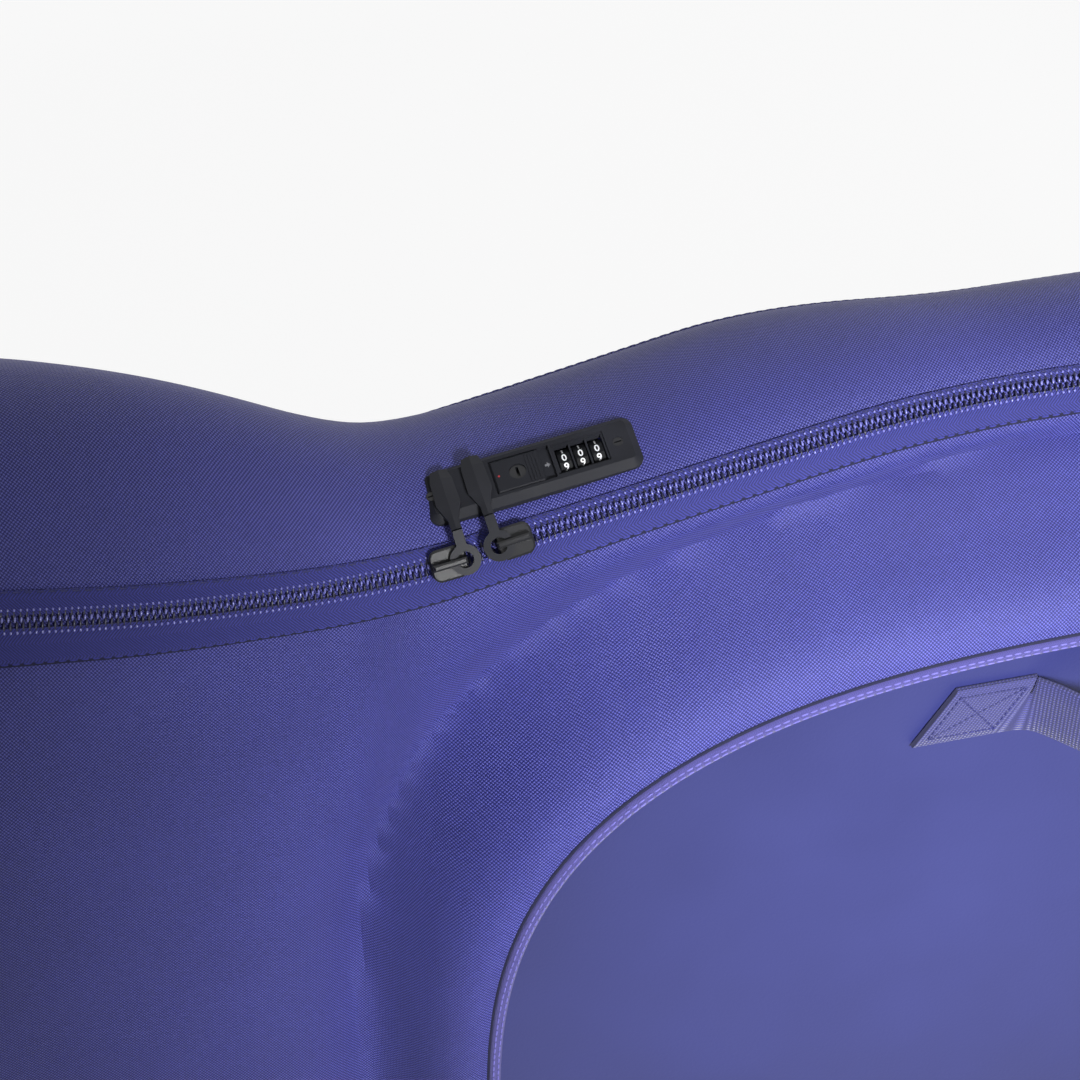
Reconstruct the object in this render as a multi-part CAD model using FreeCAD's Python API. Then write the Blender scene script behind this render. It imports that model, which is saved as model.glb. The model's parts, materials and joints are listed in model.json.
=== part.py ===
import FreeCAD, Part
import math
import os

from FreeCAD import Matrix, Placement, Vector

os.makedirs("parts", exist_ok=True)

# Bike travel case. Millimetres, +Z up, +X towards the rear wheels, door on -Y.
# The shells are one lofted envelope, cut along the zip line.

# Envelope
CASE_LENGTH = 1360.0
WALL = 6.0
SHELL_BOTTOM = 80.0
BASE_HALF = 115.0
SPINE_HALF = 60.0
HUMP_HALF = 235.0
TAIL_HALF = 85.0
CROWN_RISE = 40.0
REAR_RISE = 82.0
HUMP_RISE = 162.0
END_RUN = 120.0
END_SHARE = 0.62
FRONT_DROP = 90.0
REAR_DROP = 60.0
STATIONS = [-680, -677, -668, -650, -620, -580, -520, -450, -380, -310, -240, -180, -130, -90,
            -50, -10, 30, 70, 110, 160, 220, 290, 370, 450, 520, 580, 620, 650, 668, 677, 680]

# Zip line
ZIP_LOW = 765.8
LOCK_SLOPE = 0.2175
HUMP_SLOPE = 0.36
TAIL_SLOPE = 0.35
ZIP_FRONT_Y = -100.0
ZIP_NOSE_Y = -48.0
ZIP_LOCK_Y = -50.0
ZIP_REAR_Y = -38.0
ZIP_END_Z = 98.0
FAR_OFF = 1200.0
PANEL_GAP = 0.8
SKIN_GAP = 0.4
TAPE_THICK = 1.2
DOOR_TAPE_REACH = 14.0
GUSSET_TAPE_REACH = 9.0
COIL_HALF = 4.4
COIL_TOP = 3.4
ZIP_LIFT = 0.0
COIL_SPLIT = 0.3
PIPING_HALF = 2.2
PIPING_TOP = 3.0

# Wheel panels, an oval between an ellipse and a rectangle
PANEL_X = 275.0
PANEL_Z = 474.0
PANEL_LONG = 311.0
PANEL_HIGH = 256.0
PANEL_POWER = 3.0
PANEL_Y = 118.0
PANEL_EDGE = 2.0
PANEL_THICK = 1.4
SHOULDER = [(0.0, 0.0), (6.0, 0.7), (13.0, 3.4), (20.0, 9.0), (29.0, 20.0), (41.0, 40.0), (49.0, 62.0), (52.0, 88.0)]
HUB_GUARD_X = 215.0
HUB_GUARD_R = 70.0
HUB_GUARD_THICK = 3.0

# Sliders and pullers
LEFT_SLIDER_X = -37.0
RIGHT_SLIDER_X = -8.0
SLIDER_LONG = 16.0
SLIDER_WIDE = 14.0
WING_BOTTOM = 4.1
WING_TOP = 6.4
FLANGE_BOTTOM = 3.75
FLANGE_IN = 5.4
BRIDGE_BOTTOM = 10.2
BRIDGE_TOP = 12.0
BRIDGE_HALF = 1.4
RING_X = 7.1
RING_OUT_R = 6.6
RING_IN_R = 3.5
RING_BOTTOM = 7.0
RING_THICK = 2.4
PULLER_GAP = 1.0
NECK_WIDE = 4.4
PADDLE = [(0.0, 4.4, 2.4), (5.0, 4.6, 2.8), (12.5, 10.6, 3.4), (25.0, 9.8, 3.2), (30.0, 7.4, 2.2)]

# Lock
LOCK_X = 5.0
LOCK_Y = -27.0
LOCK_LONG = 95.0
LOCK_WIDE = 26.0
LOCK_FACE = 5.0
LOCK_BEVEL = 3.2
LOCK_CORNER = 5.0
BODY_LEFT = -41.0
BODY_RIGHT = 35.5
BODY_HALF = 9.8
BODY_BOTTOM = -12.0
DIAL_X = 22.3
DIAL_PITCH = 7.3
DIAL_R = 7.0
DIAL_WIDE = 5.8
DIAL_AXIS = -2.4
DIAL_GAP = 0.35
DIGITS = 10
SHAFT_R = 1.5
SHAFT_GAP = 0.05
PLATE_LEFT = -16.5
PLATE_LONG = 21.5
PLATE_HALF = 8.2
PLATE_FLOOR = 2.6
PLATE_TRAVEL = 4.5
PLATE_GAP = 0.3
KEY_X = -5.7
KEY_R = 3.7
LOCK_SCREWS_X = (-44.0, 39.0)
SCREW_R = 1.5

# Base
TRAY_SIDE = 3.0
TRAY_BOTTOM = 24.0
TRAY_FLOOR = 30.0
TRAY_TOP = 79.6
TRAY_WALL = 5.0
RAIL_HALF_Y = 60.0
WHEEL_X = 560.0
WHEEL_Y = 92.0
WHEEL_R = 36.0
WHEEL_WIDE = 28.0
WHEEL_GAP = 4.0
HUB_R = 24.0
BEARING_R = 11.0
BEARING_WIDE = 7.0
AXLE_R = 4.0
FIT_GAP = 0.05
BRACKET_LONG = 96.0
BRACKET_IN = 70.0
BRACKET_OUT = 114.0
FOOT_R = 22.0
FOOT_X = -560.0
FOOT_Y = 80.0
HINGE_Y = -120.8
HINGE_BEAD_R = 2.4

# Webbing handles
STRAP_WIDE = 30.0
STRAP_THICK = 2.6
STRAP_RISE = 30.0
STRAP_PATCH = 40.0
SIDE_STRAP_LONG = 184.0
END_STRAP_LONG = 220.0
HANDLE_X = 254.0
HANDLE_Z = 700.0

# Inside fittings
STAND_X = -330.0
STAND_AXLE_Z = 320.0
FORK_WIDTH = 100.0
FORK_AXLE_R = 6.0
CRADLE_X = 120.0


def smooth_step(t):
    """Goes from 0 to 1 with level ends."""
    t = max(0.0, min(1.0, t))
    return t * t * (3.0 - 2.0 * t)


def smooth_ramp(t, corner):
    """Nought below, t above, with a round corner between."""
    if t < -corner:
        return 0.0
    return t if t > corner else (t + corner) ** 2 / (4.0 * corner)


def zip_y(x):
    front = (ZIP_FRONT_Y - ZIP_LOCK_Y) * smooth_step((-50.0 - x) / 300.0)
    front += (ZIP_NOSE_Y - ZIP_FRONT_Y) * smooth_step((-520.0 - x) / 150.0)
    return ZIP_LOCK_Y + front + (ZIP_REAR_Y - ZIP_LOCK_Y) * smooth_step((x - 90.0) / 140.0)


def zip_z(x):
    lock_climb = LOCK_SLOPE * (smooth_ramp(x + 62.0, 40.0) - smooth_ramp(x - 131.0, 45.0))
    hump_climb = HUMP_SLOPE * (smooth_ramp(-x - 115.0, 75.0) - smooth_ramp(-x - 520.0, 60.0))
    return ZIP_LOW + lock_climb + hump_climb - TAIL_SLOPE * smooth_ramp(x - 430.0, 130.0)


def end_factor(x):
    """1 along the case, falling as a quarter ellipse to 0 at its ends."""
    t = max(0.0, (abs(x) - (CASE_LENGTH / 2.0 - END_RUN)) / END_RUN)
    return math.sqrt(max(0.0, 1.0 - t * t))


def base_half(x):
    return BASE_HALF * (END_SHARE + (1.0 - END_SHARE) * end_factor(x))


def section(x):
    """Half width, crown rise and shoulder height of the envelope at x."""
    half = SPINE_HALF + (HUMP_HALF - SPINE_HALF) * smooth_step((-68.0 - x) / 455.0)
    half += (TAIL_HALF - SPINE_HALF) * smooth_step((x - 300.0) / 250.0)
    rise = CROWN_RISE + (HUMP_RISE - CROWN_RISE) * smooth_step((15.0 - x) / 230.0)
    rise += (REAR_RISE - CROWN_RISE) * smooth_step((x - 90.0) / 170.0)
    top = zip_z(x) + rise * (1.0 - math.sqrt(1.0 - (zip_y(x) / half) ** 2))
    fade = end_factor(x)
    top -= (1.0 - fade) * (FRONT_DROP if x < 0.0 else REAR_DROP)
    rise *= 0.6 + 0.4 * fade
    return half * (END_SHARE + (1.0 - END_SHARE) * fade), rise, top - rise


def crown_z(x, y):
    half, rise, shoulder = section(x)
    return shoulder + rise * math.sqrt(1.0 - (y / half) ** 2)


def crown_normal(x, y):
    slope_x = (crown_z(x + 1.0, y) - crown_z(x - 1.0, y)) / 2.0
    slope_y = (crown_z(x, y + 0.1) - crown_z(x, y - 0.1)) / 0.2
    return Vector(-slope_x, -slope_y, 1.0).normalize()


def section_wire(x, offset, bottom):
    half, rise, shoulder = section(x)
    foot = base_half(x) + offset
    half += offset
    rise += offset
    side = []
    for k in range(6):
        z = bottom + (shoulder - bottom) * k / 6.0
        share = smooth_step((shoulder - z) / (shoulder - SHELL_BOTTOM))
        side.append((half + (foot - half) * share, z))
    for k in range(6):
        turn = math.radians(15.0 * k)
        side.append((half * math.cos(turn), shoulder + rise * math.sin(turn)))
    at = x * (1.0 + 2.0 * offset / CASE_LENGTH)
    points = [Vector(at, -y, z) for y, z in side]
    points.append(Vector(at, 0.0, shoulder + rise))
    points += [Vector(at, y, z) for y, z in reversed(side)]
    arch = Part.BSplineCurve()
    arch.interpolate(points)
    return Part.Wire([arch.toShape(), Part.makeLine(points[-1], points[0])])


def envelope(offset, bottom=SHELL_BOTTOM):
    return Part.makeLoft([section_wire(x, offset, bottom) for x in STATIONS], True, False)


def box(x0, x1, y0, y1, z0, z1):
    return Part.makeBox(x1 - x0, y1 - y0, z1 - z0, Vector(x0, y0, z0))


def rod(start, direction, radius, length):
    return Part.makeCylinder(radius, length, start, direction)


def mirrored(shape):
    return shape.mirror(Vector(0, 0, 0), Vector(0, 1, 0))


def polygon_prism(points, direction):
    return Part.Face(Part.makePolygon(points + [points[0]])).extrude(direction)


def rounded(shape, radius, picks):
    edges = [edge for edge in shape.Edges if picks(edge)]
    return shape.makeFillet(radius, edges)


def panel_oval(grow, y):
    """Closed outline of the wheel panel, grown outwards, on the near plane y."""
    long, high = PANEL_LONG + grow, PANEL_HIGH + grow
    points = []
    for k in range(48):
        turn = math.radians(360.0 * k / 48.0)
        cos, sin = math.cos(turn), math.sin(turn)
        radius = (abs(cos / long) ** PANEL_POWER + abs(sin / high) ** PANEL_POWER) ** (-1.0 / PANEL_POWER)
        points.append(Vector(PANEL_X + radius * cos, y, PANEL_Z + radius * sin))
    curve = Part.BSplineCurve()
    curve.interpolate(points, PeriodicFlag=True)
    return Part.Wire(curve.toShape())


def wheel_dome(inset):
    """Raised wheel panel on the near side, flat with a rounded shoulder."""
    outlines = [panel_oval(PANEL_EDGE + grow - inset, drop + inset - PANEL_Y) for grow, drop in SHOULDER]
    return Part.makeLoft(outlines, True, False)


def zip_slope(x):
    """Cosine and sine of the crown's slope at the zip, level where the zip runs down the ends."""
    half, rise, shoulder = section(x)
    share = min(0.95, abs(zip_y(x)) / half)
    slope = math.atan(rise / half * share / math.sqrt(1.0 - share * share))
    slope *= smooth_step((end_factor(x) - 0.5) / 0.4)
    return math.cos(slope), math.sin(slope)


def plan_curve(distance, lift):
    """Plan line a distance up the crown from the near zip line, at a lift off the shell."""
    points = []
    for k in range(43):
        x = -714.0 + 34.0 * k
        across, out = zip_slope(x)
        points.append(Vector(x, zip_y(x) + distance * across - lift * out, 0.0))
    curve = Part.BSplineCurve()
    curve.interpolate(points)
    return curve.toShape()


def plan_band(first, second, lift=0.0):
    """Tall prism between two plan lines, given as distances from the zip line."""
    low, high = plan_curve(first, lift), plan_curve(second, lift)
    ends = [Part.makeLine(low.Vertexes[k].Point, high.Vertexes[k].Point) for k in (0, 1)]
    wire = Part.Wire(Part.__sortEdges__([low, high] + ends))
    return Part.Face(wire).extrude(Vector(0, 0, 1100.0))


def frame_at(origin, along, normal):
    """Placement with local X along, local Z on the normal."""
    z = Vector(normal).normalize()
    x = (along - z * along.dot(z)).normalize()
    y = z.cross(x)
    return Placement(Matrix(x.x, y.x, z.x, origin.x, x.y, y.y, z.y, origin.y,
                            x.z, y.z, z.z, origin.z, 0, 0, 0, 1))


def placed(shape, frame):
    moved = shape.copy()
    moved.Placement = frame.multiply(moved.Placement)
    return moved


def save(name, shapes):
    solids = shapes if isinstance(shapes, list) else [shapes]
    solids = [solid for shape in solids for solid in shape.Solids]
    for solid in solids:
        if not solid.isValid():
            print("not valid:", name)
    shape = solids[0] if len(solids) == 1 else Part.makeCompound(solids)
    shape.exportStep("parts/%s.step" % name)
    print("%-20s %d solids %9.1f cm3" % (name, len(solids), shape.Volume / 1000.0))


def build_shells(lock_hole):
    """Door, gussets, far shell and the round panels."""
    dome = wheel_dome(0.0)
    outer = envelope(0.0).fuse(dome).fuse(mirrored(dome))
    hollow = wheel_dome(WALL)
    inner = envelope(-WALL, SHELL_BOTTOM - 40.0).fuse(hollow).fuse(mirrored(hollow))
    wall = outer.cut(inner)
    middle = plan_band(PANEL_GAP / 2.0, FAR_OFF)
    near = plan_band(-PANEL_GAP / 2.0, -FAR_OFF)
    gusset = wall.common(middle).common(mirrored(middle))
    door = wall.common(near)
    save("door_shell", door)
    save("far_shell", mirrored(door))
    split = CASE_LENGTH / 2.0 - END_RUN + 20.0
    cut = PANEL_GAP / 4.0
    save("front_gusset", gusset.common(box(-900, -split - cut, -300, 300, 0, 1100)))
    save("rear_gusset", gusset.common(box(split + cut, 900, -300, 300, 0, 1100)))
    top = gusset.common(box(-split + cut, split - cut, -300, 300, 0, 1100))
    save("top_gusset", top.cut(lock_hole))
    disc = Part.Face(panel_oval(0.0, -PANEL_Y - FIT_GAP)).extrude(Vector(0, -PANEL_THICK, 0))
    save("door_round_panel", disc)
    save("far_round_panel", mirrored(disc))
    centre = Vector(HUB_GUARD_X, -PANEL_Y + WALL + FIT_GAP, PANEL_Z)
    guard = rod(centre, Vector(0, 1, 0), HUB_GUARD_R, HUB_GUARD_THICK)
    dish = rod(centre + Vector(0, 1.5, 0), Vector(0, 1, 0), HUB_GUARD_R / 3.0, 10.0)
    save("door_hub_guard", guard.cut(dish))
    save("far_hub_guard", mirrored(guard.cut(dish)))


def build_zip():
    """Tapes, coils, end stops and the far seam piping."""
    skin = envelope(SKIN_GAP)
    zip_room = box(-900, 900, -400, 400, 400, 1100)
    for end in (-900, 620):
        zip_room = zip_room.fuse(box(end, end + 280, -400, 400, ZIP_END_Z, 1100))
    tape_top = SKIN_GAP + TAPE_THICK
    beside = COIL_HALF + 0.1
    strips = [("door_zip_tape", -beside, -DOOR_TAPE_REACH, tape_top),
              ("gusset_zip_tape", beside, GUSSET_TAPE_REACH, tape_top),
              ("door_zip_coil", -COIL_SPLIT / 2.0, -COIL_HALF, COIL_TOP),
              ("gusset_zip_coil", COIL_SPLIT / 2.0, COIL_HALF, COIL_TOP)]
    layers = {}
    for name, first, second, top in strips:
        if top not in layers:
            layers[top] = envelope(top).cut(skin).common(zip_room)
        save(name, layers[top].common(plan_band(first, second, ZIP_LIFT)))
    above_tray = box(-900, 900, -400, 400, SHELL_BOTTOM + 6.0, 1100)
    piping = envelope(PIPING_TOP).cut(skin).common(above_tray).common(plan_band(-PIPING_HALF, PIPING_HALF, ZIP_LIFT))
    save("far_seam_piping", mirrored(piping))
    stops = []
    for end in (-1.0, 1.0):
        x = end * (CASE_LENGTH / 2.0 + SKIN_GAP)
        y = zip_y(x)
        low = box(x - 2.0, x + 4.0, y - 6.0, y + 6.0, ZIP_END_Z - 12.0, ZIP_END_Z - 0.3)
        stops.append(low.cut(skin))
    save("zip_end_stops", stops)


def slider_frame(x):
    origin = Vector(x, zip_y(x), zip_z(x))
    ahead = Vector(2.0, zip_y(x + 1.0) - zip_y(x - 1.0), zip_z(x + 1.0) - zip_z(x - 1.0))
    return frame_at(origin, ahead, crown_normal(x, zip_y(x)))


def lock_frame():
    origin = Vector(LOCK_X, LOCK_Y, crown_z(LOCK_X, LOCK_Y))
    ahead = Vector(2.0, 0.0, crown_z(LOCK_X + 1.0, LOCK_Y) - crown_z(LOCK_X - 1.0, LOCK_Y))
    return frame_at(origin, ahead, crown_normal(LOCK_X, LOCK_Y))


def slider(side):
    """Slider in its own frame; side +1 has its ring towards local +X."""
    long = SLIDER_LONG / 2.0
    wide = SLIDER_WIDE / 2.0
    wing = box(-long, long, -wide, wide, WING_BOTTOM, WING_TOP)
    wing = rounded(wing, 4.0, lambda e: abs(e.BoundBox.ZLength - (WING_TOP - WING_BOTTOM)) < 0.01)
    wing = wing.makeChamfer(0.9, [e for e in wing.Edges if e.BoundBox.ZMin > WING_TOP - 0.01])
    for edge in (-1.0, 1.0):
        mid = edge * (FLANGE_IN + wide) / 2.0
        half = (wide - FLANGE_IN) / 2.0
        wing = wing.fuse(box(-long + 3.0, long - 3.0, mid - half, mid + half, FLANGE_BOTTOM, WING_BOTTOM + 0.5))
    outer = box(-long + 1.0, -long + 3.6, -BRIDGE_HALF, BRIDGE_HALF, WING_TOP - 0.5, BRIDGE_TOP)
    inner = box(RING_X - 1.0, RING_X + 0.8, -BRIDGE_HALF, BRIDGE_HALF, WING_TOP - 0.5, BRIDGE_TOP)
    bar = box(-long + 1.0, RING_X + 0.8, -BRIDGE_HALF, BRIDGE_HALF, BRIDGE_BOTTOM, BRIDGE_TOP)
    bridge = outer.fuse(inner).fuse(bar).removeSplitter()
    bridge = bridge.makeChamfer(0.8, [e for e in bridge.Edges if e.BoundBox.ZMin > BRIDGE_TOP - 0.01])
    body = wing.fuse(bridge).removeSplitter()
    return body if side > 0 else body.mirror(Vector(0, 0, 0), Vector(1, 0, 0))


def puller(side, frame, lock):
    """Ring, neck and a faceted paddle bent to lie over the lock face."""
    centre = Vector(side * RING_X, 0.0, RING_BOTTOM)
    ring = rod(centre, Vector(0, 0, 1), RING_OUT_R, RING_THICK)
    hole = rod(centre, Vector(0, 0, 1), RING_IN_R, RING_THICK)
    face = lock.multVec(Vector(0, 0, LOCK_FACE + PULLER_GAP))
    to_local = frame.inverse()
    point = to_local.multVec(face)
    normal = to_local.Rotation.multVec(lock.Rotation.multVec(Vector(0, 0, 1)))
    reach = point.y + (normal.z * (point.z - RING_BOTTOM) + normal.x * (point.x - centre.x)) / normal.y
    tilt = math.atan2(normal.y, normal.z)
    neck = box(centre.x - NECK_WIDE / 2.0, centre.x + NECK_WIDE / 2.0, RING_IN_R + 0.8, reach + 0.3,
               RING_BOTTOM, RING_BOTTOM + RING_THICK)
    sections = []
    for along, width, height in PADDLE:
        ring_points = [(-width / 2.0, 0.0), (width / 2.0, 0.0), (width / 2.0, height * 0.5),
                       (0.0, height), (-width / 2.0, height * 0.5)]
        points = []
        for x, up in ring_points:
            y = reach + along * math.cos(tilt) + up * math.sin(tilt)
            points.append(Vector(centre.x + x, y, RING_BOTTOM - along * math.sin(tilt) + up * math.cos(tilt)))
        sections.append(Part.makePolygon(points + [points[0]]))
    paddle = Part.makeLoft(sections, True, True)
    return ring.fuse(neck).fuse(paddle).cut(hole).removeSplitter()


def lock_hole_shape():
    return box(BODY_LEFT - 0.3, BODY_RIGHT + 0.3, -BODY_HALF - 0.3, BODY_HALF + 0.3, -30.0, 30.0)


def lock_screw_holes(radius):
    return [rod(Vector(x, 0, -30.0), Vector(0, 0, 1), radius, 60.0) for x in LOCK_SCREWS_X]


def build_lock(frame):
    """Housing, slide plate with latch bar, key plug, dials, shaft, back plate, screws."""
    long = LOCK_LONG / 2.0
    wide = LOCK_WIDE / 2.0
    flange = box(-long, long, -wide, wide, -3.0, LOCK_FACE)
    flange = rounded(flange, LOCK_CORNER, lambda e: abs(e.BoundBox.ZLength - LOCK_FACE - 3.0) < 0.01)
    flange = flange.makeChamfer(LOCK_BEVEL, [e for e in flange.Edges if e.BoundBox.ZMin > LOCK_FACE - 0.01])
    skin = placed(envelope(0.15), frame.inverse())
    body = box(BODY_LEFT, BODY_RIGHT, -BODY_HALF, BODY_HALF, BODY_BOTTOM, LOCK_FACE - LOCK_BEVEL)
    housing = flange.cut(skin).fuse(body)

    plate_right = PLATE_LEFT + PLATE_LONG
    recess = box(PLATE_LEFT - PLATE_GAP, plate_right + PLATE_TRAVEL + PLATE_GAP,
                 -PLATE_HALF - PLATE_GAP, PLATE_HALF + PLATE_GAP, PLATE_FLOOR, LOCK_FACE + 1.0)
    well = box(BODY_LEFT + 2.0, 4.0, -4.6, 4.6, BODY_BOTTOM + 2.0, PLATE_FLOOR + 0.1)
    roof = box(BODY_LEFT + 1.0, PLATE_LEFT - 0.5, -5.0, 5.0, 1.4, PLATE_FLOOR + 0.2)
    housing = housing.cut(recess).cut(well.cut(roof))
    first = DIAL_X - DIAL_PITCH
    drum_half = DIAL_PITCH + DIAL_WIDE / 2.0 + DIAL_GAP
    bay = rod(Vector(DIAL_X - drum_half, 0, DIAL_AXIS), Vector(1, 0, 0), DIAL_R + 0.6, 2.0 * drum_half)
    window = box(DIAL_X - drum_half - 1.0, DIAL_X + drum_half + 1.0, -7.6, 7.6, LOCK_FACE - 1.0, LOCK_FACE + 1.0)
    housing = housing.cut(window)
    slots = []
    for k in range(3):
        x = first + k * DIAL_PITCH
        half = DIAL_WIDE / 2.0 + DIAL_GAP
        drum = rod(Vector(x - half, 0, DIAL_AXIS), Vector(1, 0, 0), DIAL_R + 0.6, 2.0 * half)
        slots.append(drum.fuse(box(x - half, x + half, -6.6, 6.6, DIAL_AXIS, LOCK_FACE + 1.0)))
    for slot in slots:
        housing = housing.cut(slot)
    shaft_left = DIAL_X - drum_half - 1.6
    shaft_long = 2.0 * drum_half + 3.2
    for hole in lock_screw_holes(SCREW_R + FIT_GAP):
        housing = housing.cut(hole)
    housing = housing.cut(rod(Vector(shaft_left - FIT_GAP, 0, DIAL_AXIS), Vector(1, 0, 0),
                              SHAFT_R + SHAFT_GAP, shaft_long + 2.0 * FIT_GAP))
    for x in LOCK_SCREWS_X:
        housing = housing.cut(rod(Vector(x, 0, LOCK_FACE - 1.6), Vector(0, 0, 1), 2.3, 5.0))
    for x in (LEFT_SLIDER_X + RING_X - LOCK_X, RIGHT_SLIDER_X - RING_X - LOCK_X):
        housing = housing.cut(rod(Vector(x, 1.5, -2.0), Vector(0, 0, 1), 1.6, 10.0))
    save("lock_housing", placed(housing, frame))

    plate = box(PLATE_LEFT, plate_right, -PLATE_HALF, PLATE_HALF, PLATE_FLOOR + 0.15, LOCK_FACE - 0.1)
    plate = plate.makeChamfer(0.8, [e for e in plate.Edges if e.BoundBox.ZMin > LOCK_FACE - 0.11])
    for k in range(4):
        x = plate_right - 6.2 + 1.4 * k
        plate = plate.fuse(box(x, x + 0.7, -PLATE_HALF + 1.4, PLATE_HALF - 1.4, LOCK_FACE - 0.4, LOCK_FACE + 0.3))
    bore = rod(Vector(KEY_X, 0, -5.0), Vector(0, 0, 1), KEY_R, 15.0)
    post = box(PLATE_LEFT + 1.0, PLATE_LEFT + 5.0, -2.6, 2.6, -3.0, PLATE_FLOOR + 0.3)
    save("lock_slide_plate", placed(plate.fuse(post).cut(bore).removeSplitter(), frame))
    bar = box(BODY_LEFT + 4.0, PLATE_LEFT + 5.0, -2.6, 2.6, -6.2, -3.0)
    for x in (BODY_LEFT + 8.0, BODY_LEFT + 16.0):
        bar = bar.fuse(box(x, x + 2.0, -2.6, 2.6, -3.2, 0.9))
    save("lock_latch_bar", placed(bar.removeSplitter(), frame))
    plug = rod(Vector(KEY_X, 0, -4.0), Vector(0, 0, 1), KEY_R - FIT_GAP, LOCK_FACE + 3.2)
    plug = plug.cut(box(KEY_X - 0.6, KEY_X + 0.6, -2.4, 2.4, 1.0, 9.0))
    save("key_plug", placed(plug, frame))

    for k in range(3):
        x = first + k * DIAL_PITCH
        points = []
        for digit in range(DIGITS):
            turn = math.radians(360.0 * (digit + 0.5) / DIGITS)
            points.append(Vector(x - DIAL_WIDE / 2.0, DIAL_R * math.sin(turn), DIAL_AXIS + DIAL_R * math.cos(turn)))
        drum = polygon_prism(points, Vector(DIAL_WIDE, 0, 0))
        drum = drum.makeChamfer(0.4, [e for e in drum.Edges if e.BoundBox.XLength < 0.01])
        bore = rod(Vector(x - 10, 0, DIAL_AXIS), Vector(1, 0, 0), SHAFT_R + SHAFT_GAP, 20.0)
        save("dial_%d" % (k + 1), placed(drum.cut(bore), frame))
    save("dial_shaft", placed(rod(Vector(shaft_left, 0, DIAL_AXIS), Vector(1, 0, 0), SHAFT_R, shaft_long), frame))

    inside = envelope(-WALL - 0.2, SHELL_BOTTOM)
    back = box(-long, long, -wide, wide, BODY_BOTTOM + 0.4, -4.0).common(placed(inside, frame.inverse()))
    back = back.cut(box(BODY_LEFT - 0.2, BODY_RIGHT + 0.2, -BODY_HALF - 0.2, BODY_HALF + 0.2, -30, 30))
    for hole in lock_screw_holes(SCREW_R + FIT_GAP):
        back = back.cut(hole)
    save("lock_back_plate", placed(back, frame))
    screws = []
    for x in LOCK_SCREWS_X:
        head = rod(Vector(x, 0, LOCK_FACE - 1.55), Vector(0, 0, 1), 2.2, 1.3)
        head = head.cut(box(x - 1.6, x + 1.6, -0.35, 0.35, LOCK_FACE - 0.9, LOCK_FACE))
        shank = rod(Vector(x, 0, BODY_BOTTOM - 1.0), Vector(0, 0, 1), SCREW_R, LOCK_FACE - BODY_BOTTOM)
        screws.append(placed(head.fuse(shank), frame))
    save("lock_screws", screws)


def base_outline(offset, height):
    """Closed plan face of the base, grown by an offset."""
    half_long = CASE_LENGTH / 2.0 + offset
    xs = [x for x in STATIONS]
    curve = Part.BSplineCurve()
    scale = half_long / (CASE_LENGTH / 2.0)
    curve.interpolate([Vector(x * scale, -base_half(x) - offset, height) for x in xs])
    near = curve.toShape()
    far = mirrored(near)
    ends = [Part.makeLine(near.Vertexes[k].Point, far.Vertexes[k].Point) for k in (0, 1)]
    return Part.Face(Part.Wire(Part.__sortEdges__([near, far] + ends)))


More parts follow.
